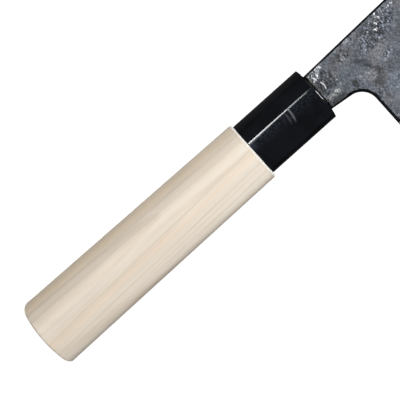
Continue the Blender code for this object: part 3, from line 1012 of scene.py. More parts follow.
@dataclass(frozen=True)
class GlossFinish:
    """Polished black horn-like gloss with faint clouds, hairlines and a few scuffs, and painted
    reflection and highlights along the ridge and on the front rim.
    """

    name: str = "black_gloss"
    deep: Colour = (0.0018, 0.0019, 0.0022)
    cloud: Colour = (0.0036, 0.0042, 0.0056)
    # Painted reflection under the ridge.
    painted_sheen: Colour = (0.022, 0.028, 0.040)
    scuffed: Colour = (0.080, 0.086, 0.098)
    # Painted highlight along the ridge.
    ridge_highlight: Colour = (0.120, 0.124, 0.134)
    # Painted highlight on the front rim.
    rim_highlight: Colour = (0.95, 0.96, 0.98)
    roughness: float = 0.09
    worn_roughness: float = 0.46
    specular: float = 0.5

    def build(self, effects: Effects) -> bpy.types.Material:
        """Build the material.

        Args:
            effects: the shared node groups.

        Returns:
            The material.
        """
        tree = Surface(self.name)
        vector = tree.vector
        clouds = tree.group(effects.mottle, Vector=vector, Size=0.006, Edge=0.16)["Clouds"]
        tilted = tree.mapped(vector, turn=(0.0, 0.06, 0.0))
        sizes = {"Width": 0.00016, "Length": 0.006, "Share": 0.34}
        hair = tree.group(effects.scratches, Vector=tilted, **sizes)["Mask"]
        scuffs = self.scuffs(tree)
        tone = tree.mix(clouds, self.deep, self.cloud)
        tone = tree.mix(self.sheen_mask(tree) * 0.9, tone, self.painted_sheen)
        tone = tree.mix(scuffs, tone, self.scuffed)
        tone = tree.mix(self.ridge_highlight_mask(tree), tone, self.ridge_highlight)
        ripple = tree.noise(tree.mapped(vector, scale=(0.2, 1.0, 1.0)), 420.0, 2.0)
        rough = tree.blend(hair * 0.22 | scuffs, self.roughness, self.worn_roughness)
        return tree.shade(
            {
                "Base Color": tree.mix(self.rim_highlight_mask(tree), tone, self.rim_highlight),
                "Roughness": rough,
                "Normal": tree.bump(0.22, 0.00008, ripple * 0.25 - hair * 0.08),
                "Specular IOR Level": self.specular,
            }
        )

    def scuffs(self, tree: Surface) -> Num:
        """Return the mask of the scuffs.

        Args:
            tree: the material's tree.

        Returns:
            The mask.
        """
        x, y, z = tree.split(tree.vector)
        total = None
        for scuff in SCUFFS:
            down = scuff.top - z
            gap = abs(x - scuff.x + down * down * 25.0)
            ends = tree.span(down, 0.0, 0.0006) * tree.fall(down, scuff.length * 0.6, scuff.length)
            stroke = tree.fall(gap, scuff.half_width * 0.2, scuff.half_width) * ends * scuff.weight
            total = stroke if total is None else total | stroke
        return total * (y < RIGHT_FACE_Y)

    def rim_highlight_mask(self, tree: Surface) -> Num:
        """Return the mask of the short painted highlight on the front rim.

        Args:
            tree: the material's tree.

        Returns:
            The mask.
        """
        x, y, z = tree.split(tree.vector)
        line = tree.fall(abs(x - 0.00042), 0.00008, 0.00018) * (y < 0.0)
        return line * (tree.fall(z, 0.0, 0.0014) * tree.span(z, -0.0034, -0.0028))

    def ridge_highlight_mask(self, tree: Surface) -> Num:
        """Return the mask of the painted highlight along the ridge, which fades toward the front.

        Args:
            tree: the material's tree.

        Returns:
            The mask.
        """
        x, y, z = tree.split(tree.vector)
        line = tree.fall(abs(z - 0.0023), 0.0001, 0.0006)
        return line * tree.fall(x, -0.0295, -0.0180) * (y < RIGHT_FACE_Y)

    def sheen_mask(self, tree: Surface) -> Num:
        """Return the mask of the painted reflection: a mottled sheen under the ridge, and a painted
        highlight near the ridge's rear end.

        Args:
            tree: the material's tree.

        Returns:
            The mask.
        """
        _, y, z = tree.split(tree.vector)
        band = tree.span(z, -0.0030, 0.0024) * tree.fall(z, 0.0026, 0.0031) * (y < RIGHT_FACE_Y)
        spots = tree.span(tree.noise(tree.vector, 1500.0, 3.0, 0.65), 0.40, 0.66)
        ends = {0: tree.vector, 1: (-0.0296, -0.0080, 0.0012)}
        away = tree.add("VectorMath", ends, operation="DISTANCE").outputs["Value"]
        return band * spots | tree.fall(away, 0.0006, 0.0027)


@dataclass(frozen=True)
class ForgedFinish:
    """Dark forge scale on soft iron, ground bright along the bevel."""

    name: str = "forge_scale"
    cool: Colour = (0.087, 0.100, 0.121)
    warm: Colour = (0.101, 0.102, 0.113)
    black: Colour = (0.004, 0.004, 0.005)
    resin: Colour = (0.230, 0.200, 0.125)
    # Painted glints on the forge scale.
    glint: Colour = (0.86, 0.87, 0.90)
    chalk: Colour = (0.43, 0.43, 0.40)
    olive: Colour = (0.021, 0.021, 0.016)
    iron: Colour = (0.30, 0.303, 0.310)
    ground_mark: Colour = (0.44, 0.444, 0.452)

    def build(self, effects: Effects) -> bpy.types.Material:
        """Build the material.

        Args:
            effects: the shared node groups.

        Returns:
            The material.
        """
        tree = Surface(self.name)
        flat = tree.mapped(tree.vector, scale=(1, 0.2, 1))
        rough = tree.mark(Mark.ROUGH.value)
        grit = tree.noise(flat, (1750, 1750, 1150), 2.0, 0.62)
        speck = tree.noise(flat, 2300.0, 3.0, 0.7)
        swing = (grit - 0.5) * tree.blend(rough, 2.6, 8.0)
        tone = tree.tint(self.scale_tone(tree, effects, flat), tree.grey(swing + 1.0, 0.16, 3.2))
        tone = tree.tint(tone, self.grains(tree, flat, rough))
        tone = tree.tint(tone, tree.grey(tree.span(speck, 0.3, 0.7, 0.50, 1.50), 0.0, 2.0))
        chalky = tree.span(tree.noise(flat, (1900, 1900, 1500), 3.0, 0.7), 0.45, 0.58)
        tone = tree.mix(chalky * tree.mark(Mark.CHALK.value) * 0.80, tone, self.chalk)
        tone = tree.mix(tree.mark(Mark.STAIN.value) * 0.85, tone, self.olive)
        # Painted glints, with the real bright scar.
        glints = self.flecks(tree, flat) | self.scar(tree)
        tone = tree.mix(glints, tone, self.glint)
        tone = tree.mix(self.smear(tree), tone, self.resin)
        # Black rim of scale with painted shade, and painted shade in the mouth.
        edge = self.edge(tree, flat)
        tone = tree.mix(edge, tone, self.black)
        ground = self.ground_mask(tree, flat)
        marks = self.grinding(tree, effects)
        metal = (1.0 - glints) * 0.25 | edge
        dull = tree.span(speck, 0.3, 0.7, 0.38, 0.58)
        height = grit * tree.blend(rough, 0.6, 2.6) + speck * 0.4
        return tree.shade(
            {
                "Base Color": tree.mix(ground, tone, tree.mix(marks, self.iron, self.ground_mark)),
                "Metallic": tree.blend(ground, metal, 0.40),
                "Roughness": tree.blend(ground, dull, tree.blend(marks, 0.36, 0.30)),
                "Normal": tree.bump(0.8, 0.00012, tree.blend(ground, height, marks * 0.12)),
            }
        )

    def grains(self, tree: Surface, flat: bpy.types.NodeSocket, rough: Num) -> Tone:
        """Return the lightness of the scale's grains, which differ more where it is rough.

        Args:
            tree: the material's tree.
            flat: the coordinates that the scale's patterns lie in.
            rough: how rough the scale is.

        Returns:
            A grey to multiply the scale's colour by.
        """
        noisy = {"Vector": flat, "Scale": 1400.0, "Detail": 2.0}
        bend = {0: tree.add("TexNoise", noisy).outputs["Color"], 1: (0.0009, 0.0, 0.0009)}
        bent = tree.add("VectorMath", bend, operation="MULTIPLY").outputs[0]
        where = tree.add("VectorMath", {0: flat, 1: bent}, operation="ADD").outputs[0]
        large = tree.cells(where, (2300, 400, 1500))
        small = tree.cells(where, (3100, 400, 2900))
        swing = (large * 0.65 + small * 0.35 - 0.5) * tree.blend(rough, 0.50, 2.6)
        return tree.grey(swing + 1.0, 0.25, 2.4)

    def scale_tone(self, tree: Surface, effects: Effects, flat: bpy.types.NodeSocket) -> Tone:
        """Return the colour of the scale, in soft cool and warm clouds.

        Args:
            tree: the material's tree.
            effects: the shared node groups.
            flat: the coordinates that the scale's patterns lie in.

        Returns:
            The colour.
        """
        drift = tree.noise(flat, 190.0, 3.0, 0.6) - 0.5
        warm = tree.mark(Mark.WARM.value) + drift * 1.8
        tone = tree.mix(tree.span(warm, -0.5, 0.6), self.cool, self.warm)
        broken = tree.group(effects.mottle, Vector=flat, Size=0.0042, Edge=0.22)["Broken"]
        light = tree.blend(broken, 0.78, 1.08) + tree.mark(Mark.TONE.value) * 0.50
        return tree.tint(tone, tree.grey(light, 0.3, 2.0))

    def flecks(self, tree: Surface, flat: bpy.types.NodeSocket) -> Num:
        """Return the mask of painted glints, bright flecks that are longer across the blade.

        Args:
            tree: the material's tree.
            flat: the coordinates that the scale's patterns lie in.

        Returns:
            The mask.
        """
        glint = tree.mark(Mark.GLINT.value)
        flecks = tree.noise(flat, (1900, 1900, 900), 1.5, 0.5, 0.6)
        flecks = tree.span(flecks - (0.72 - glint * 0.17), 0.0, 0.05)
        breaks = tree.noise(flat, (3000, 3000, 1900), 2.0, 0.6)
        return flecks * tree.span(glint, 0.05, 0.3) * tree.span(breaks, 0.36, 0.50, 0.30, 1.0)

    def scar(self, tree: Surface) -> Num:
        """Return the mask of the one curved bright scar on the neck's right face.

        Args:
            tree: the material's tree.

        Returns:
            The mask.
        """
        x, y, z = tree.split(tree.vector)
        middle = z - 0.0005
        gap = abs(x - 0.00418 + middle * middle * 140.0)
        scar = tree.fall(gap, 0.00010, 0.00028) * tree.fall(abs(middle), 0.0013, 0.0018)
        return scar * (y < 0.0) * 0.80

    def smear(self, tree: Surface) -> Num:
        """Return the mask of the resin specks on the neck where it enters the ferrule.

        Args:
            tree: the material's tree.

        Returns:
            The mask.
        """
        x, _, z = tree.split(tree.vector)
        near = tree.fall(x, 0.0012, 0.0026) * tree.span(z, -0.0040, 0.0010, 0.30, 0.90)
        return near * tree.span(tree.noise(tree.vector, 1900.0, 3.0, 0.6), 0.50, 0.60)

    def edge(self, tree: Surface, flat: bpy.types.NodeSocket) -> Num:
        """Return the mask of black: unworked scale with painted shade along the rounded rim, and
        painted shade in the mouth.

        Args:
            tree: the material's tree.
            flat: the coordinates that the scale's patterns lie in.

        Returns:
            The mask.
        """
        wave = tree.noise(flat, 620.0, 3.0, 0.6) - 0.5
        rim = tree.fall(tree.mark(RIM) + wave * 0.9, 0.84, 1.12)
        x = tree.split(tree.vector)[0]
        return (rim | tree.fall(x + wave * 0.0008, 0.00112, 0.00134)) * 0.97

    def ground_mask(self, tree: Surface, flat: bpy.types.NodeSocket) -> Num:
        """Return the mask of the ground bevel, with an uneven border to the forge scale."""
        wave = tree.noise(tree.mapped(flat, scale=(1, 1, 0.3)), 130.0, 4.0, 0.6)
        return tree.span(tree.mark(GROUND) + (wave - 0.5) * 2.2, 0.95, 1.35)

    def grinding(self, tree: Surface, effects: Effects) -> Num:
        """Return the mask of grinding marks, which run nearly across the blade.

        Args:
            tree: the material's tree.
            effects: the shared node groups.

        Returns:
            The mask.
        """
        turned = tree.mapped(tree.vector, turn=(0.0, math.radians(78.0), 0.0))
        sizes = {"Width": 0.00013, "Length": 0.009, "Share": 0.42}
        return tree.group(effects.scratches, Vector=turned, **sizes)["Mask"]


@dataclass(frozen=True)
class SteelFinish:
    """Hard steel of the core, polished by the whetstone along the edge."""

    name: str = "core_steel"
    cloud: Colour = (0.72, 0.725, 0.735)
    bright: Colour = (0.86, 0.865, 0.872)
    stone_mark: Colour = (0.50, 0.505, 0.52)
    roughness: float = 0.24
    metallic: float = 0.45

    def build(self, effects: Effects) -> bpy.types.Material:
        """Build the material.

        Args:
            effects: the shared node groups.

        Returns:
            The material.
        """
        tree = Surface(self.name)
        broken = tree.group(effects.mottle, Vector=tree.vector, Size=0.004, Edge=0.2)["Broken"]
        turned = tree.mapped(tree.vector, turn=(0.0, math.radians(8.0), 0.0))
        sizes = {"Width": 0.00012, "Length": 0.014, "Share": 0.4}
        marks = tree.group(effects.scratches, Vector=turned, **sizes)["Mask"]
        tone = tree.mix(broken, self.cloud, self.bright)
        return tree.shade(
            {
                "Base Color": tree.mix(marks * 0.35, tone, self.stone_mark),
                "Roughness": tree.blend(marks, self.roughness, self.roughness + 0.12),
                "Normal": tree.bump(0.3, 0.00003, marks),
                "Metallic": self.metallic,
            }
        )


@dataclass(frozen=True)
class ResinFinish:
    """Brown resin, cast in place, a little cloudy."""

    name: str = "brown_resin"
    light: Colour = (0.34, 0.21, 0.10)
    dark: Colour = (0.12, 0.065, 0.03)
    roughness: float = 0.42

    def build(self, effects: Effects) -> bpy.types.Material:
        """Build the material.

        Args:
            effects: the shared node groups.

        Returns:
            The material.
        """
        tree = Surface(self.name)
        clouds = tree.group(effects.mottle, Vector=tree.vector, Size=0.0014, Edge=0.2)
        return tree.shade(
            {
                "Base Color": tree.mix(clouds["Broken"], self.dark, self.light),
                "Roughness": tree.blend(clouds["Clouds"], self.roughness, self.roughness + 0.2),
                "Normal": tree.bump(0.5, 0.0001, tree.noise(tree.vector, 1600.0, 2.0)),
            }
        )


# The blade


@dataclass(frozen=True)
class BladeForm:
    """Sizes and curves that the blade's three layers share, in the handle's frame."""

    tang_root_x: float = -0.0047
    tang_length: float = 0.0750
    tang_root_height: float = 0.0086
    tang_end_height: float = 0.0056
    tang_root_thickness: float = 0.0032
    tang_end_thickness: float = 0.0024
    tang_end_round: float = 0.0016
    heel_x: float = 0.0150
    neck_below_axis: float = 0.0078
    neck_flare: float = math.radians(6.7)
    heel_fillet: float = 0.0068
    length: float = 0.1650
    height: float = 0.0500
    spine_above_axis: float = 0.0075
    spine_rise: float = math.radians(2.0)
    spine_tip_above_axis: float = 0.0088
    spine_tip_drop: float = math.radians(3.0)
    tip_top_round: float = 0.0140
    tip_edge_round: float = 0.0030
    heel_edge_rise: float = 0.0004
    tip_edge_rise: float = 0.0022
    edge_low_point: float = 0.0600
    spine_thickness: float = 0.0036
    shoulder_height: float = 0.0150
    shoulder_thickness: float = 0.0029
    tip_thinning: float = 0.0009
    core_thickness: float = 0.0010
    edge_bevel_height: float = 0.0008
    edge_bevel_thickness: float = 0.0004
    spine_ease: float = 0.0004
    choil_ease: float = 0.0008
    foot_half: float = 0.00062
    shoulder_blend: float = 0.000012
    shoulder_waves: tuple[Triple, ...] = ((0.0007, 0.021, 3.7), (0.0003, 0.006, 8.1))
    foot_waves: tuple[Triple, ...] = ((0.0007, 0.008, 1.3), (0.0004, 0.0025, 5.9))
    lowest: float = -0.0430
    highest: float = 0.0125

    @property
    def tip_x(self) -> float:
        """Place of the front edge."""
        return self.heel_x + self.length

    @property
    def heel_spine_z(self) -> float:
        """Height of the spine over the heel."""
        return self.neck_top(self.heel_x)

    @property
    def tip_centre(self) -> Point:
        """Middle of the round corner between the spine and the front edge."""
        drop = self.tip_top_round * math.cos(self.spine_tip_drop)
        return (self.tip_x - self.tip_top_round, self.spine_tip_above_axis - drop)

    @property
    def fillet_centre(self) -> Point:
        """Middle of the round corner between the heel and the neck's underside."""
        reach = self.heel_fillet / math.tan((QUARTER + self.neck_flare) / 2)
        return (self.heel_x - self.heel_fillet, self.neck_foot(self.heel_x) - reach)

    def neck_top(self, x: float) -> float:
        """Return the height of the spine's straight start."""
        return self.spine_above_axis + x * math.tan(self.spine_rise)

    def neck_foot(self, x: float) -> float:
        """Return the height of the neck's underside."""
        return -self.neck_below_axis - x * math.tan(self.neck_flare)

    def belly_z(self, x: float) -> float:
        """Return the height of the cutting edge's long curve.

        Args:
            x: place along the axis.

        Returns:
            The height above the handle's axis.
        """
        run = x - self.heel_x - self.edge_low_point
        if run < 0:
            rise = self.heel_edge_rise * (run / self.edge_low_point) ** 2
        else:
            rise = self.tip_edge_rise * (run / (self.length - self.edge_low_point)) ** 2
        return rise - (self.height - self.heel_spine_z)

    def edge_z(self, x: float) -> float:
        """Return the height of the cutting edge, with its round corner at the tip.

        Args:
            x: place along the axis.

        Returns:
            The height above the handle's axis.
        """
        into = max(0.0, x - (self.tip_x - self.tip_edge_round))
        drop = math.sqrt(max(0.0, self.tip_edge_round**2 - into**2))
        return self.belly_z(x) + self.tip_edge_round - drop

    def shoulder_z(self, x: float) -> float:
        """Return the height of the line where the ground bevel begins."""
        return self.belly_z(x) + self.shoulder_height

    def flat_half(self, x: float, z: float) -> float:
        """Return half the thickness of the forged flat.

        Args:
            x: place along the axis.
            z: height above the handle's axis.

        Returns:
            Half the thickness in metres.
        """
        slope = (self.spine_thickness - self.shoulder_thickness) / 2
        slope /= self.height - self.shoulder_height
        thinning = self.tip_thinning / 2 / self.length
        half = self.spine_thickness / 2 - slope * (self.heel_spine_z - z)
        return half - thinning * (x - self.heel_x)

    def shoulder_wave(self, x: float) -> float:
        """Return how far the ground bevel's upper border strays, as ground by hand."""
        return strays(self.shoulder_waves, x)

    def bevel_half(self, x: float, z: float) -> float:
        """Return half the thickness of the ground bevel, carried on above its border.

        Args:
            x: place along the axis.
            z: height above the handle's axis.

        Returns:
            Half the thickness in metres.
        """
        top = self.flat_half(x, self.shoulder_z(x))
        low = self.edge_bevel_thickness / 2
        above = z - self.belly_z(x) - self.edge_bevel_height
        above -= self.shoulder_wave(x) * smoothstep(0.004, 0.012, above)
        return low + (top - low) * above / (self.shoulder_height - self.edge_bevel_height)

    def outer_half(self, x: float, z: float) -> float:
        """Return half the blade's thickness anywhere above the edge bevel.

        Args:
            x: place along the axis.
            z: height above the handle's axis.

        Returns:
            Half the thickness in metres.
        """
        root = self.tang_root_thickness / 2
        if x < self.tang_root_x:
            share = (self.tang_root_x - x) / self.tang_length
            return root + (self.tang_end_thickness / 2 - root) * share
        if x < self.heel_x:
            share = (x - self.tang_root_x) / (self.heel_x - self.tang_root_x)
            return root + (self.flat_half(self.heel_x, z) - root) * share
        flat, bevel = self.flat_half(x, z), self.bevel_half(x, z)
        gap = abs(flat - bevel) / self.shoulder_blend
        if gap >= 30:
            return min(flat, bevel)
        return min(flat, bevel) - self.shoulder_blend * math.log1p(math.exp(-gap))

    def foot_z(self, x: float) -> float:
        """Return the height of the wavy line where the outer layers end and the core shows.

        Args:
            x: place along the axis.

        Returns:
            The height above the handle's axis.
        """
        top = self.flat_half(x, self.shoulder_z(x))
        low = self.edge_bevel_thickness / 2
        share = (self.foot_half - low) / (top - low)
        rise = self.edge_bevel_height + share * (self.shoulder_height - self.edge_bevel_height)
        return self.belly_z(x) + rise + strays(self.foot_waves, x)

    def stations(self) -> list[float]:
        """Return the places from heel to tip where the lower lines have a point.

        Returns:
            The places along the axis.
        """
        corner = self.tip_x - self.tip_edge_round
        places, x = [], self.heel_x
        while x < corner:
            places.append(x)
            x += 0.0005 if x < 0.060 else 0.0008
        sweep = [corner + self.tip_edge_round * math.sin(QUARTER * i / 10) for i in range(11)]
        return places + sweep

    def spine_path(self) -> Outline:
        """Return the line from the front edge's top up round the corner and back to the heel.

        Returns:
            The points, without the one at the heel.
        """
        start = self.tip_x - self.tip_top_round * (1 - math.sin(self.spine_tip_drop))
        centre_x, centre_z = self.tip_centre
        points = []
        for i in range(36):
            angle = (QUARTER - self.spine_tip_drop) * i / 36
            reach = Vector((math.cos(angle), math.sin(angle))) * self.tip_top_round
            points.append((centre_x + reach.x, centre_z + reach.y))
        reach = (start - self.heel_x) / 3
        tip_z = self.spine_tip_above_axis
        return points + cubic(
            (start, tip_z),
            (start - reach, tip_z + reach * math.tan(self.spine_tip_drop)),
            (self.heel_x + reach, self.heel_spine_z + reach * math.tan(self.spine_rise)),
            (self.heel_x, self.heel_spine_z),
            260,
        )

    @cached_property
    def spine_points(self) -> Outline:
        """The spine's points in order from the heel."""
        return sorted(self.spine_path())

    def spine_height(self, x: float) -> float:
        """Return the height of the arched spine.

        Args:
            x: place along the axis.

        Returns:
            The height above the handle's axis.
        """
        points = self.spine_points
        high = min(max(1, bisect_left(points, (x, 0.0))), len(points) - 1)
        (a, a_z), (b, b_z) = points[high - 1], points[high]
        share = min(1.0, max(0.0, (x - a) / max(b - a, MERGE)))
        return a_z + (b_z - a_z) * share

    def fillet_path(self) -> Outline:
        """Return the round corner from the heel's upright edge to the neck's underside.

        Returns:
            The points.
        """
        (x, z), reach = self.fillet_centre, self.heel_fillet
        angles = [(math.pi - (QUARTER + self.neck_flare)) * i / 18 for i in range(19)]
        return [(x + reach * math.cos(a), z + reach * math.sin(a)) for a in angles]

    def tang_path(self) -> Outline:
        """Return the tang's outline, from below the axis round its end to above the axis.

        Returns:
            The six points.
        """
        root_z, end_z = self.tang_root_height / 2, self.tang_end_height / 2
        end_x, off = self.tang_root_x - self.tang_length, self.tang_end_round
        lower = [(self.tang_root_x, -root_z), (end_x + off, -end_z), (end_x, -end_z + off)]
        return lower + [(x, -z) for x, z in reversed(lower)]

    def upper_path(self, low_front: Point, low_heel: Point) -> Outline:
        """Draw the blade's outline above a lower line.

        Args:
            low_front: last point of the lower line, on the front edge.
            low_heel: first point of the lower line, on the heel.

        Returns:
            The points after low_front, up and round to the point before low_heel.
        """
        spine, fillet, root_x = self.spine_path(), self.fillet_path(), self.tang_root_x
        path = along(low_front, spine[0], 0.0006)[1:] + spine
        path += along((self.heel_x, self.heel_spine_z), (root_x, self.neck_top(root_x)), 0.0004)
        path += self.tang_path()[::-1]
        path += along((root_x, self.neck_foot(root_x)), fillet[-1], 0.0004)
        path += fillet[::-1]
        return path + along(fillet[0], low_heel, 0.0005)[1:]


@dataclass(frozen=True)
class Patch:
    """One soft oval patch on the forged flat, in millimetres from the handle's origin."""

    x: float
    z: float
    reach_x: float
    reach_z: float
    turn: float
    strength: float

    def weight(self, x: float, z: float) -> float:
        """Return the patch's strength at a place given in millimetres.

        Args:
            x: place along the axis in millimetres.
            z: height in millimetres.

        Returns:
            The strength, which is 0 outside the patch.
        """
        a, b = x - self.x, z - self.z
        if abs(a) + abs(b) > 3 * max(self.reach_x, self.reach_z):
            return 0.0
        cos, sin = math.cos(math.radians(self.turn)), math.sin(math.radians(self.turn))
        along_it, over = (a * cos + b * sin) / self.reach_x, (b * cos - a * sin) / self.reach_z
        return self.strength * (1 - smoothstep(0.50, 1.15, math.hypot(along_it, over)))


# Each row is one patch: its x and z, its reach each way, its turn in degrees and its strength
RIGHT_PATCHES = {
    Mark.ROUGH: (
        (3.6, 3.6, 5.0, 4.4, 0.0, 1.0), (2.4, -3.0, 2.8, 5.0, 0.0, 0.8),
        (7.4, 0.4, 2.6, 3.2, 0.0, 0.7), (15.0, 4.0, 4.6, 2.6, -8.0, 0.8),
        (33.0, 4.0, 8.0, 4.6, 12.0, 1.0), (25.0, 1.6, 4.5, 3.0, 20.0, 0.55),
        (28.6, -6.0, 2.4, 1.2, 20.0, 0.5), (17.0, -15.0, 3.0, 3.4, 0.0, 0.45),
        (13.0, -6.6, 1.7, 2.2, 15.0, 1.3),
    ),
    Mark.GLINT: (
        (6.7, 6.70, 2.0, 0.30, 1.0, 1.35), (7.1, 6.0, 0.60, 0.65, 40.0, 1.05),
        (5.5, 4.9, 0.42, 0.70, 20.0, 1.1), (4.3, 4.5, 0.70, 0.42, 10.0, 1.1),
        (2.9, 4.5, 0.65, 0.38, 0.0, 1.05), (2.4, 3.5, 0.55, 0.42, 30.0, 1.2),
        (1.5, 6.4, 0.60, 0.90, 0.0, 1.1), (4.4, 5.0, 3.4, 1.9, 38.0, 0.75),
        (34.4, 7.4, 0.45, 0.40, 0.0, 1.1), (34.6, 5.8, 0.40, 0.70, -8.0, 1.2),
        (32.4, 5.1, 0.40, 1.10, 8.0, 1.15), (28.6, 4.2, 0.40, 1.20, 0.0, 0.9),
        (30.9, 3.2, 0.40, 0.90, 12.0, 0.95), (37.1, 5.4, 0.60, 0.60, 0.0, 1.2),
        (41.0, 6.4, 2.6, 0.9, 6.0, 1.1), (32.6, 4.6, 4.2, 3.0, 12.0, 0.55),
    ),
    Mark.TONE: (
        (5.4, -6.9, 4.6, 1.0, -7.0, -1.10), (5.8, 1.2, 4.4, 4.2, 0.0, -1.15),
        (12.9, -6.6, 1.6, 2.2, 15.0, -1.50), (15.0, 4.4, 5.0, 2.0, -8.0, -0.45),
        (20.4, 6.7, 1.9, 1.0, 0.0, 1.20), (17.6, -7.4, 3.9, 2.5, -28.0, 1.20),
        (18.9, -1.4, 3.0, 1.0, -40.0, -1.25), (20.8, -5.2, 1.9, 0.8, -62.0, -1.40),
        (22.5, -8.7, 1.7, 1.5, 0.0, -1.15), (20.3, -12.0, 2.1, 2.2, 0.0, -0.80),
        (27.4, -4.5, 5.2, 3.6, 15.0, 0.65), (28.9, -6.4, 2.8, 1.8, 30.0, 0.95),
        (29.6, -6.4, 1.8, 0.45, 30.0, 0.50), (30.6, -4.8, 1.6, 0.40, 25.0, -0.80),
        (26.2, -11.0, 2.0, 2.6, 0.0, -0.40), (24.6, -15.4, 4.8, 3.8, 0.0, 0.85),
        (31.0, 3.6, 4.5, 3.2, 12.0, -0.75), (36.9, 0.5, 1.2, 1.9, 0.0, 1.10),
        (41.6, 3.0, 4.0, 3.4, 0.0, 0.40), (19.6, -3.7, 1.5, 0.9, -50.0, -0.60),
        (33.4, -5.9, 3.0, 2.4, 20.0, 0.75), (37.4, 3.1, 1.8, 1.6, 0.0, 0.60),
        (11.8, 2.1, 2.2, 1.6, 0.0, -0.50), (21.8, -19.0, 3.2, 3.0, 0.0, 0.55),
        (26.7, 5.7, 2.6, 1.6, 0.0, -0.75), (26.4, 0.6, 1.7, 1.5, 0.0, 0.65),
        (13.4, 4.4, 2.2, 1.7, 0.0, -0.55),
    ),
    Mark.WARM: (
        (16.0, 4.2, 4.0, 2.2, -8.0, 1.3), (11.6, -3.4, 3.4, 3.4, 0.0, -1.6),
        (17.6, -7.4, 3.9, 2.5, -28.0, 0.3), (21.2, -10.6, 3.0, 3.2, 0.0, 2.4),
        (24.0, -15.6, 4.6, 3.6, 0.0, -1.2), (24.8, -3.9, 3.2, 2.6, 0.0, 1.2),
    ),
    Mark.CHALK: (
        (7.0, -4.6, 1.9, 0.8, -14.0, 1.25), (4.6, -4.7, 1.7, 0.8, 4.0, 1.1),
        (2.2, -4.4, 1.1, 1.0, 0.0, 0.8), (8.8, -1.2, 0.6, 0.5, 0.0, 1.3),
        (8.6, -2.9, 0.5, 1.0, 0.0, 0.8), (9.4, 0.0, 0.5, 0.5, 0.0, 0.8),
        (7.3, 0.9, 0.5, 0.5, 0.0, 0.7),
    ),
    Mark.STAIN: (
        (13.1, -6.1, 1.0, 1.4, 20.0, 0.9), (4.6, -6.9, 4.2, 1.0, -7.0, 0.35),
    ),
}
LEFT_PATCHES = {
    Mark.ROUGH: (
        (4.0, 2.0, 5.0, 4.6, 0.0, 0.9), (22.0, -4.0, 6.0, 4.0, 30.0, 0.8),
    ),
    Mark.GLINT: (
        (6.8, 3.6, 3.0, 1.4, -30.0, 1.0), (24.0, -2.0, 3.0, 1.4, 45.0, 0.8),
    ),
    Mark.TONE: (
        (14.0, 1.0, 5.0, 4.0, 0.0, -0.6),
    ),
    Mark.WARM: (
        (36.0, -8.0, 7.0, 5.0, 0.0, 1.0),
    ),
    Mark.CHALK: (
        (3.4, -5.2, 2.8, 1.0, 12.0, 0.9),
    ),
}
SIDE_PATCHES = {
    side: {mark: [Patch(*row) for row in rows] for mark, rows in marks.items()}
    for side, marks in ((Side.RIGHT, RIGHT_PATCHES), (Side.LEFT, LEFT_PATCHES))
}


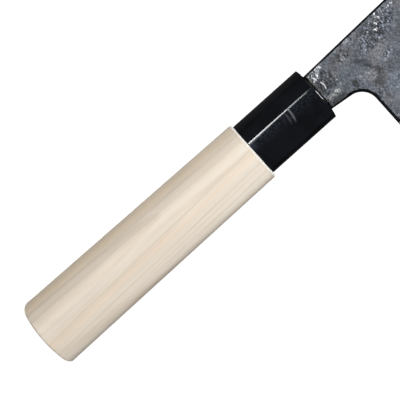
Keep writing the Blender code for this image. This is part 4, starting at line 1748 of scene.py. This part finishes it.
@dataclass
class BladeLayer:
    """One soft iron layer of the blade: forged, pitted and scaled, and ground along its foot."""

    form: BladeForm
    side: Side
    finish: ForgedFinish
    fine_spacing: float = 0.00042
    coarse_spacing: float = 0.00066
    fine_until: float = 0.056
    ease_steps: tuple[float, ...] = (0.035, 0.13, 0.29, 0.50, 0.75, 1.0)
    rim_fade: float = 0.0012
    heel_radius: float = 0.00012
    tip_radius: float = 0.0001
    spine_band: float = 0.00078
    heel_band: float = 0.00062
    choil_band_gain: float = 0.00056
    broad_relief: float = 0.055
    dent_relief: float = 0.026
    scale_relief: float = 0.006
    rough_relief: float = 0.026
    ground_relief: float = 0.12
    flat_relief_gain: float = 0.88

    @property
    def name(self) -> str:
        """Name of the piece."""
        return f"forged_layer_{self.side.name.lower()}"

    @property
    def seed(self) -> float:
        """Where in the noise this side's chance marks lie."""
        return 11.0 if self.side is Side.RIGHT else 47.0

    def eased_lines(self) -> list[Outline]:
        """Return the two stretches of the outline whose corner is rounded, in order round it.

        Returns:
            The line over the tang and the line under it.
        """
        form = self.form
        heel_low = (form.heel_x, form.foot_z(form.heel_x))
        front_low = (form.tip_x, form.foot_z(form.tip_x))
        path = form.upper_path(front_low, heel_low)
        back = [i for i, (x, _) in enumerate(path) if abs(x - form.tang_root_x) < MERGE]
        return [path[: back[0] + 1], path[back[-1] :]]

    def reach_at(self, x: float, z: float) -> float:
        """Return the radius of the rounded corner near a place.

        Args:
            x: place along the axis.
            z: height above the handle's axis.

        Returns:
            The radius in metres.
        """
        form = self.form
        shoulder = form.shoulder_z(form.heel_x)
        if x < form.heel_x + 0.003 and z < -0.006:
            rise = smoothstep(shoulder - 0.005, shoulder + 0.001, z)
            return self.heel_radius + (form.choil_ease - self.heel_radius) * rise
        shoulder = form.shoulder_z(form.tip_x)
        if x > form.tip_x - 0.002 and z < shoulder + 0.004:
            rise = smoothstep(shoulder - 0.003, shoulder + 0.004, z)
            return self.tip_radius + (form.spine_ease - self.tip_radius) * rise
        return form.spine_ease

    def band_at(self, x: float, z: float) -> float:
        """Return how far the rim's black, scale with painted shade, reaches in near a place.

        Args:
            x: place along the axis.
            z: height above the handle's axis.

        Returns:
            The width in metres.
        """
        if x < self.form.heel_x + 0.003 and z < -0.001:
            return self.heel_band + self.choil_band_gain * smoothstep(0.0055, 0.0095, x)
        return self.spine_band

    def relief(self, x: float, z: float) -> float:
        """Return how far the hammered and pitted surface stands out at a place.

        Args:
            x: place along the axis.
            z: height above the handle's axis.

        Returns:
            The relief in metres.
        """
        seed, at = self.seed, Vector((x, z, 0.0))
        broad = noise.noise(at / 0.013 + Vector((seed, 0.0, 0.0)))
        dents = noise.noise(at / 0.0055 + Vector((0.0, seed, 0.0)))
        scale = noise.fractal(at / 0.0019 + Vector((seed, seed, 0.0)), 0.9, 2.1, 2)
        rough = min(1.0, self.mark_at(Mark.ROUGH, x, z))
        relief = self.broad_relief * broad + self.dent_relief * dents
        return MM * (relief + (self.scale_relief + self.rough_relief * rough) * scale)

    def mark_at(self, mark: Mark, x: float, z: float) -> float:
        """Return the strength of one kind of mark at a place, from its patches and from chance.

        Args:
            mark: the kind of mark.
            x: place along the axis.
            z: height above the handle's axis.

        Returns:
            The strength.
        """
        x_mm, z_mm = x / MM, z / MM
        bend = 0.0 if mark is Mark.GLINT else 0.9
        bent_x = x_mm + bend * noise.noise(Vector((x_mm / 1.7, z_mm / 1.7, self.seed + 20.0)))
        bent_z = z_mm + bend * noise.noise(Vector((x_mm / 1.7, z_mm / 1.7, self.seed + 40.0)))
        patches = SIDE_PATCHES[self.side].get(mark, ())
        total = sum(patch.weight(bent_x, bent_z) for patch in patches)
        beyond = smoothstep(0.036, 0.052, x)
        row = self.seed + 3.1 * len(mark.value)
        cloud = noise.noise(Vector((x_mm / 11.0, z_mm / 9.0, row)))
        if mark is Mark.ROUGH:
            return total + (0.35 + 0.45 * beyond) * smoothstep(0.0, 0.45, cloud)
        # Chance painted glints beyond the patches.
        if mark is Mark.GLINT:
            high = smoothstep(-4.0, 4.0, z_mm)
            return total + 0.9 * beyond * smoothstep(0.28, 0.5, cloud) * high
        if mark is Mark.TONE:
            return total + 0.35 * cloud
        if mark is Mark.WARM:
            return total + 0.5 * cloud - 0.15
        return total

    def build(self) -> bpy.types.Object:
        """Model the layer.

        Returns:
            The finished piece.
        """
        form = self.form
        foot = [(x, form.foot_z(x)) for x in form.stations()]
        outline = foot + form.upper_path(foot[-1], foot[0])
        lines = self.eased_lines()
        eased = [point for line in lines for point in line]
        rim = KDTree(len(eased))
        for i, (x, z) in enumerate(eased):
            rim.insert((x, z, 0.0), i)
        rim.balance()
        inner_points = self.field_points(rim)
        for line in lines:
            for step in self.ease_steps:
                inner_points += self.moved_in(line, step)
        obj = filled_plan(self.name, outline, [], inner_points)
        side, inner = self.side.value, form.core_thickness / 2

        def outer(x: float, z: float) -> float:
            """Return y on the outside, with its rounded rim and its relief.

            Args:
                x: place along the axis.
                z: height above the handle's axis.

            Returns:
                The place along y.
            """
            distance = rim.find((x, z, 0.0))[2] if x > form.tang_root_x else 1.0
            half = form.outer_half(x, z)
            reach = self.reach_at(x, z)
            if distance < reach:
                half -= reach - math.sqrt(max(0.0, reach**2 - (reach - distance) ** 2))
            weight = smoothstep(0.0, self.rim_fade, distance)
            if x > form.heel_x - 0.001:
                weight *= smoothstep(0.0, 0.001, z - form.foot_z(x))
                over = smoothstep(-0.001, 0.001, z - form.belly_z(x) - form.shoulder_height)
                weight *= self.ground_relief + self.flat_relief_gain * over
            if x > form.tang_root_x and weight > 0:
                half += weight * self.relief(x, z)
            return side * max(half, inner)

        extrude_sheet(obj, outer, lambda x, z: side * inner)
        self.close_inner_face(obj, inner)
        self.store_marks(obj, rim)
        return place(obj, 42)

    def moved_in(self, line: Outline, step: float) -> Outline:
        """Return an eased line moved in by a share of its corner's radius.

        Args:
            line: the line.
            step: share of the radius.

        Returns:
            The moved points, without those past the tang's root.
        """
        moved = []
        for i, (x, z) in enumerate(line):
            before, after = Vector(line[max(0, i - 1)]), Vector(line[min(len(line) - 1, i + 1)])
            run = (after - before).normalized()
            reach = self.reach_at(x, z) * step
            moved.append((x - run.y * reach, z + run.x * reach))
        return [(x, z) for x, z in moved if x >= self.form.tang_root_x + 0.0003]

    def field_points(self, rim: KDTree) -> Outline:
        """Return the points that fill the layer inside its rounded rim.

        Args:
            rim: the points of the outline whose corner is rounded.

        Returns:
            The points.
        """
        form = self.form
        low, high, middle = form.lowest, form.highest, self.fine_until
        points = hex_points((form.tang_root_x, low), (middle, high), self.fine_spacing)
        points += hex_points((middle, low), (form.tip_x, high), self.coarse_spacing)
        kept = []
        for x, z in points:
            gap = 0.6 * (self.fine_spacing if x < middle else self.coarse_spacing)
            clear_of_rim = rim.find((x, z, 0.0))[2] >= self.reach_at(x, z) + gap
            clear_of_foot = x <= form.heel_x or z >= form.foot_z(x) + gap
            if clear_of_rim and clear_of_foot and self.covers(x, z):
                kept.append((x, z))
        return kept

    def covers(self, x: float, z: float) -> bool:
        """Return whether a place lies inside the layer's outline.

        Args:
            x: place along the axis.
            z: height above the handle's axis.

        Returns:
            True inside.
        """
        form = self.form
        if x < form.heel_x:
            if z > form.neck_top(x) or x < form.tang_root_x + 0.0003:
                return False
            corner, centre_z = form.fillet_centre
            if x < corner:
                return z > form.neck_foot(x)
            reach = math.sqrt(max(0.0, form.heel_fillet**2 - (x - corner) ** 2))
            return z > max(centre_z + reach, form.neck_foot(x))
        corner, centre_z = form.tip_centre
        if x > corner:
            into = x - corner
            return z < centre_z + math.sqrt(max(0.0, form.tip_top_round**2 - into**2))
        return z < form.spine_height(x)

    def close_inner_face(self, obj: bpy.types.Object, inner: float) -> None:
        """Put one flat face in place of the triangles on the inside, which nothing shows.

        Args:
            obj: the piece.
            inner: how far that face lies from y zero.
        """
        activate(obj)
        bpy.ops.object.mode_set(mode="EDIT")
        bpy.ops.mesh.select_mode(type="FACE")
        bpy.ops.mesh.select_all(action="DESELECT")
        bm = bmesh.from_edit_mesh(obj.data)
        for face in bm.faces:
            face.select_set(all(abs(abs(v.co.y) - inner) < MERGE for v in face.verts))
        bmesh.update_edit_mesh(obj.data)
        bpy.ops.mesh.delete(type="FACE")
        bpy.ops.mesh.select_mode(type="EDGE")
        bpy.ops.mesh.select_all(action="DESELECT")
        bpy.ops.mesh.select_non_manifold()
        bpy.ops.mesh.edge_face_add()
        bpy.ops.mesh.select_mode(type="VERT")
        bpy.ops.object.mode_set(mode="OBJECT")

    def store_marks(self, obj: bpy.types.Object, rim: KDTree) -> None:
        """Store each point's masks, its distance to the rim and its depth below the shoulder.

        Args:
            obj: the piece.
            rim: the points of the outline whose corner is rounded.
        """
        form = self.form
        places = [(vert.co.x, vert.co.z) for vert in obj.data.vertices]
        nearness, depths = [], []
        for x, z in places:
            nearness.append(min(4.0, rim.find((x, z, 0.0))[2] / self.band_at(x, z)))
            below = form.shoulder_z(x) + form.shoulder_wave(x) - z
            depths.append(below / MM if x > form.heel_x - MERGE else -5.0)
        store(obj, RIM, nearness)
        store(obj, GROUND, depths)
        for mark in Mark:
            store(obj, mark.value, [self.mark_at(mark, x, z) for x, z in places])

    def dress(self, obj: bpy.types.Object, effects: Effects) -> None:
        """Give the layer its finish and stand it for its CAD node."""
        finish_piece(obj, self.finish.build(effects))
        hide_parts(f"{self.side.name.lower()}_cladding")


@dataclass
class BladeCore:
    """The hard steel plate, ground to the cutting edge."""

    form: BladeForm
    finish: SteelFinish
    spacing: float = 0.0008
    line_gap: float = 0.00015
    field_top: float = -0.0200
    name: str = "steel_core"

    def build(self) -> bpy.types.Object:
        """Model the plate.

        Returns:
            The finished piece.
        """
        form = self.form
        stations = form.stations()
        edge = [(x, form.edge_z(x)) for x in stations]
        bevel = [(x, form.edge_z(x) + form.edge_bevel_height) for x in stations]
        foot = [(x, form.foot_z(x)) for x in stations]
        under = [(x, z + self.line_gap) for x, z in foot]
        upper = form.upper_path(under[-1], under[0])
        outline = edge + [bevel[-1], foot[-1], under[-1]] + upper + [under[0], foot[0], bevel[0]]
        low, high = (form.heel_x, form.lowest), (form.tip_x, self.field_top)
        points = [(x, z) for x, z in hex_points(low, high, self.spacing) if self.in_band(x, z)]
        obj = filled_plan(self.name, outline, [bevel, foot, under], points)

        def half(x: float, z: float) -> float:
            """Return half the core's thickness.

            Args:
                x: place along the axis.
                z: height above the handle's axis.

            Returns:
                Half the thickness in metres.
            """
            if x < form.heel_x - MERGE or z > form.foot_z(x) + 0.0001:
                return form.core_thickness / 2
            above = z - form.edge_z(x)
            if z < form.edge_z(x) + form.edge_bevel_height - MERGE:
                share = above / form.edge_bevel_height
                return max(0.0, share) * form.edge_bevel_thickness / 2
            corner = form.edge_z(x) - form.belly_z(x)
            return form.bevel_half(x, z - corner * (1 - smoothstep(0.0, 0.006, above)))

        extrude_sheet(obj, lambda x, z: -half(x, z), half)
        return place(obj, 30)

    def in_band(self, x: float, z: float) -> bool:
        """Return whether a place lies in the part of the core that shows.

        Args:
            x: place along the axis.
            z: height above the handle's axis.

        Returns:
            True inside.
        """
        form = self.form
        clear = 0.6 * self.spacing
        above = form.edge_z(x) + form.edge_bevel_height + clear
        return form.heel_x + clear < x < form.tip_x - clear and above < z < form.foot_z(x) - clear

    def dress(self, obj: bpy.types.Object, effects: Effects) -> None:
        """Give the core its finish and stand it for its CAD node."""
        finish_piece(obj, self.finish.build(effects))
        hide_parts("blade_core")


# The handle


@dataclass
class Ferrule:
    """The black cap, with its low domed front and the mouth that the neck passes through."""

    finish: GlossFinish
    nose_finish: GlossFinish
    rear_x: float = -0.03025
    height: float = 0.0217
    width: float = 0.0172
    softness: float = 0.045
    dome: float = 0.0011
    rim_round: float = 0.00025
    rear_ease: float = 0.0002
    socket_height: float = 0.0176
    socket_width: float = 0.0136
    socket_floor_x: float = -0.0050
    mouth_low: Triple = (-0.0070, -0.002856, -0.009094)
    mouth_high: Triple = (0.0031, 0.002856, 0.008738)
    mouth_round: float = 0.0008
    name: str = "black_ferrule"

    def section(self, _: float, inset: float) -> Outline:
        """Return the outline, drawn in all round by an inset."""
        return d_section(self.height - 2 * inset, self.width - 2 * inset, self.softness)

    def build(self) -> bpy.types.Object:
        """Model the ferrule.

        Returns:
            The finished piece.
        """
        body = DrawnBody(self.name, (self.rear_x, self.section(0.0, self.rear_ease)))
        rings: list[Ring] = []
        for i in range(1, 5):
            angle = QUARTER * i / 4
            inset = self.rear_ease * (1 - math.sin(angle))
            x = self.rear_x + self.rear_ease * (1 - math.cos(angle))
            rings.append((x, self.section(x, inset)))
        for i in range(1, 12):
            x = self.rear_x + (0.0 - self.rear_x) * i / 12
            rings.append((x, self.section(x, 0.0)))
        rings += domed_end(self.section, 0.0, 1, self.rim_round, self.dome, self.width / 2)
        body.draw(rings)
        body.turn_to_start()
        socket = oval_in_step(self.socket_height, self.socket_width, self.section(0.0, 0.0))
        body.draw([(self.rear_x, socket), (self.socket_floor_x, socket)])
        obj = body.done()
        low, high = Vector(self.mouth_low), Vector(self.mouth_high)
        cut(obj, rounded_block(low, high, self.mouth_round))
        return place(obj, 32)

    def dress(self, obj: bpy.types.Object, effects: Effects) -> None:
        """Give the ferrule its finish and stand it for its CAD node.

        Args:
            obj: the piece.
            effects: the shared node groups.
        """
        finish_piece(obj, self.finish.build(effects))
        obj.data.materials.append(self.nose_finish.build(effects))
        for face in obj.data.polygons:
            face.material_index = int(face.normal.x > 0.5)
        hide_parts("ferrule")


@dataclass
class Grip:
    """The wooden handle: a tapered D, chamfered in front, domed at the butt, with its tenon."""

    finish: WoodFinish
    front_x: float = -0.0304
    length: float = 0.1011
    front_height: float = 0.0243
    front_width: float = 0.0198
    butt_height: float = 0.0264
    butt_width: float = 0.02118
    drop: float = 0.0002
    softness: float = 0.125
    chamfer: float = 0.0005
    butt_ease: float = 0.0008
    arc_radius: float = 0.0505
    arc_drop: float = 0.0010
    corner_height: float = 0.0033
    top_corner: float = 0.0015
    foot_corner: float = 0.0008
    tenon_x: float = -0.0080
    tenon_height: float = 0.0170
    tenon_width: float = 0.0130
    tenon_chamfer: float = 0.0006
    bore: float = 0.0100
    bore_end_x: float = -0.0903
    drill_point: float = 0.0030
    drill_tip: float = 0.0005
    name: str = "wooden_grip"

    def section(self, x: float, inset: float) -> Outline:
        """Return the outline at a place along the axis, drawn in by an inset.

        Args:
            x: place along the axis.
            inset: how far in it is drawn.

        Returns:
            The (y, z) points.
        """
        share = (self.front_x - x) / self.length
        height = self.front_height + (self.butt_height - self.front_height) * share
        width = self.front_width + (self.butt_width - self.front_width) * share
        outline = d_section(height - 2 * inset, width - 2 * inset, self.softness)
        return [(y, z - self.drop) for y, z in outline]

    def arch(self, z: float) -> float:
        """Return how far the arched butt lies forward of its furthest point, at a height.

        Args:
            z: the height.

        Returns:
            The distance in metres.
        """
        from_middle = z + self.drop
        into = max(0.0, abs(from_middle) - (self.butt_height / 2 - self.corner_height))
        corner = self.top_corner if from_middle > 0 else self.foot_corner
        arc = (z + self.arc_drop) ** 2 / (2 * self.arc_radius)
        return arc + corner * (into / self.corner_height) ** 2

    def build(self) -> bpy.types.Object:
        """Model the handle.

        Returns:
            The finished piece.
        """
        front = self.section(self.front_x, 0.0)
        tenon = oval_in_step(self.tenon_height, self.tenon_width, front)
        loss = 2 * self.tenon_chamfer
        tenon_tip = oval_in_step(self.tenon_height - loss, self.tenon_width - loss, front)
        body = DrawnBody(self.name, (self.tenon_x, tenon_tip))
        rings: list[Ring] = [(self.tenon_x - self.tenon_chamfer, tenon), (self.front_x, tenon)]
        rings.append((self.front_x, self.section(self.front_x, self.chamfer)))
        chamfer_x = self.front_x - self.chamfer
        butt_x = self.front_x - self.length
        side_end = butt_x + self.arch(self.butt_height / 2) + 2 * self.butt_ease
        for i in range(20):
            x = chamfer_x + (side_end - chamfer_x) * i / 20
            rings.append((x, self.section(x, 0.0)))
        body.draw(rings)
        end = domed_end(self.section, butt_x, -1, self.butt_ease, 0.0, self.butt_width / 2)
        body.draw(end, self.arch)
        body.turn_to_start()
        bore = oval_in_step(self.bore, self.bore, front)
        point = oval_in_step(self.drill_tip, self.drill_tip, front)
        point_x = self.bore_end_x - self.drill_point
        body.draw([(self.tenon_x, bore), (self.bore_end_x, bore), (point_x, point)])
        obj = place(body.done(), 30)
        facing = [smoothstep(0.60, 0.95, -vert.normal.x) for vert in obj.data.vertices]
        store(obj, END_GRAIN, facing)
        return obj

    def dress(self, obj: bpy.types.Object, effects: Effects) -> None:
        """Give the handle its finish and stand it for its CAD node."""
        finish_piece(obj, self.finish.build(effects))
        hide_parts("wooden_handle")


def finish_piece(obj: bpy.types.Object, material: bpy.types.Material) -> None:
    """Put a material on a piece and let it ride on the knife.

    Args:
        obj: the piece.
        material: its material.
    """
    obj.data.materials.clear()
    obj.data.materials.append(material)
    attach(obj, "root")


def dress_node(node: str, material: bpy.types.Material) -> None:
    """Give a CAD node that stays a better material in its slots.

    Args:
        node: name of the CAD node.
        material: the material for its slots.
    """
    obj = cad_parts[node]
    for slot in obj.material_slots:
        slot.material = material


# The studio

KNIFE: Triple = (-0.06, 0.0, 0.035)
RIDGE_REFLECTION: Triple = (-0.2040, 0.0, 0.0447)


@dataclass(frozen=True)
class Lamp:
    """One rectangular light: it either lights matt surfaces, or shows in gloss alone."""

    name: str
    offset: Triple
    size: Point
    watts: float
    gloss: bool = False
    aim: Triple = KNIFE

    def build(self) -> None:
        """Add the light, at its offset from its aim and turned to it."""
        data = bpy.data.lights.new(self.name, "AREA")
        data.shape = "RECTANGLE"
        data.size, data.size_y = self.size
        data.energy = self.watts
        obj = bpy.data.objects.new(self.name, data)
        bpy.context.scene.collection.objects.link(obj)
        offset = Vector(self.offset)
        obj.location = Vector(self.aim) + offset
        obj.rotation_mode = "QUATERNION"
        obj.rotation_quaternion = offset.to_track_quat("Z", "Y")
        obj.visible_camera = False
        obj.visible_diffuse = not self.gloss
        obj.visible_glossy = self.gloss


LAMPS = (
    Lamp("key", (0.56, -0.80, -0.12), (0.7, 0.6), 7.15),
    Lamp("high_key", (0.20, -0.80, 0.30), (0.6, 0.4), 1.2),
    Lamp("butt_fill", (-1.0, -0.25, -0.05), (0.5, 0.5), 2.6),
    Lamp("top", (0.0, 0.7, 1.1), (1.2, 1.2), 4.0),
    Lamp("under_fill", (-0.35, -0.30, -1.0), (0.8, 0.8), 0.8),
    Lamp("back_fill", (-0.2, 1.0, 0.30), (0.9, 0.8), 8.0),
    Lamp("ridge_strip", (-0.0072, -0.278, 0.112), (0.36, 0.075), 1.25, True, RIDGE_REFLECTION),
    Lamp("ridge_end", (0.0022, -0.278, 0.112), (0.36, 0.075), 0.65, True, RIDGE_REFLECTION),
    Lamp("sky_gloss", (0.0, 0.45, 0.90), (1.6, 1.0), 0.42, True),
    Lamp("back_gloss", (1.1, 0.80, 0.10), (0.5, 0.5), 2.2, True),
    Lamp("side_gloss", (-0.85, -0.75, 0.75), (0.5, 0.5), 1.6, True),
)


@dataclass
class Studio:
    """Floor, lights, background and the camera at the photograph's angle."""

    target: Triple = (-0.0806, 0.0, 0.041229)
    distance: float = 3.0
    frame_width: float = 0.14317
    sensor: float = 36.0
    roll: float = math.radians(41.75)
    floor_size: float = 9.0
    seen: Colour = (1.05, 1.05, 1.05)
    soft: Colour = (0.27, 0.275, 0.285)
    front_gloss: Colour = (0.11, 0.12, 0.14)
    back_gloss: Colour = (0.032, 0.032, 0.034)

    def build(self) -> None:
        """Build the studio."""
        self.camera()
        self.floor()
        self.background()
        for lamp in LAMPS:
            lamp.build()
        view = bpy.context.scene.view_settings
        view.view_transform = "Standard"
        view.look = "None"

    def camera(self) -> None:
        """Point the camera square at the knife's right side, rolled as in the photograph."""
        data = bpy.data.cameras.new("camera")
        data.type = "PERSP"
        data.sensor_width = self.sensor
        data.lens = self.sensor * self.distance / self.frame_width
        data.clip_start, data.clip_end = 0.05, 50.0
        obj = bpy.data.objects.new("camera", data)
        bpy.context.scene.collection.objects.link(obj)
        right = Vector((math.cos(self.roll), 0.0, -math.sin(self.roll)))
        up = Vector((math.sin(self.roll), 0.0, math.cos(self.roll)))
        back = Vector((0.0, -1.0, 0.0))
        turn = Matrix((right, up, back)).transposed().to_4x4()
        obj.matrix_world = Matrix.Translation(Vector(self.target) + back * self.distance) @ turn
        bpy.context.scene.camera = obj

    def floor(self) -> None:
        """Lay a plain pale floor under the cutting edge."""
        deselect_all()
        bpy.ops.mesh.primitive_plane_add(size=self.floor_size, location=(0, 0, -0.0001))
        obj = bpy.context.object
        obj.name = "floor"
        bpy.ops.object.transform_apply(location=True, rotation=True, scale=True)
        values = {"Base Color": (0.86, 0.86, 0.86), "Roughness": 0.9, "Specular IOR Level": 0.0}
        values |= {"Emission Color": (1.0, 1.0, 1.0), "Emission Strength": 0.79}
        obj.data.materials.append(Surface("pale_floor").shade(values))
        obj.visible_diffuse = False
        obj.visible_glossy = False
        obj.visible_shadow = False

    def background(self) -> None:
        """Make the background plain white, and soft light of it for the knife."""
        world = bpy.data.worlds.new("studio")
        bpy.context.scene.world = world
        world.use_nodes = True
        tree = Tree(world.node_tree)
        ray = tree.add("LightPath").outputs
        y = tree.split(tree.add("TexCoord").outputs["Object"])[1]
        gloss = tree.mix(tree.span(y, -0.35, 0.25), self.front_gloss, self.back_gloss)
        light = tree.mix(ray["Is Glossy Ray"], self.soft, gloss)
        colour = tree.mix(ray["Is Camera Ray"], light, self.seen)
        tree.put(world.node_tree.nodes["Background"].inputs["Color"], colour)


GRIP_WOOD = WoodFinish(
    name="ho_wood",
    pale=(0.845, 0.762, 0.648),
    warm=(0.845, 0.732, 0.596),
    line=(0.700, 0.560, 0.415),
    spacing=0.00125,
    slant=0.016,
    roughness=0.55,
    chamfer_highlight_from=-0.03102,
    tints=GRIP_TINTS,
    butt_shade=(0.862, 0.852, 0.842),
)
DOWEL_WOOD = WoodFinish(
    name="dowel_wood",
    pale=(0.62, 0.49, 0.34),
    warm=(0.55, 0.41, 0.27),
    line=(0.36, 0.25, 0.15),
    spacing=0.0009,
    slant=0.01,
    roughness=0.7,
    chamfer_highlight_from=0.0,
)
END_GRAIN_GLOSS = GlossFinish("black_end_grain", roughness=0.35, specular=0.03)


def main() -> None:
    """Build the knife's pieces in order, then the studio."""
    logging.basicConfig(level=logging.INFO, format="%(name)s: %(message)s")
    effects = Effects()
    form = BladeForm()
    assemblies = [
        BladeCore(form, SteelFinish()),
        BladeLayer(form, Side.RIGHT, ForgedFinish()),
        BladeLayer(form, Side.LEFT, ForgedFinish()),
        Ferrule(GlossFinish(), END_GRAIN_GLOSS),
        Grip(GRIP_WOOD),
    ]
    for assembly in assemblies:
        piece = assembly.build()
        assembly.dress(piece, effects)
        LOG.info("%s: %d faces", piece.name, len(piece.data.polygons))
    dress_node("tang_dowel", DOWEL_WOOD.build(effects))
    dress_node("resin_collar", ResinFinish().build(effects))
    Studio().build()


if __name__ == "__main__":
    main()
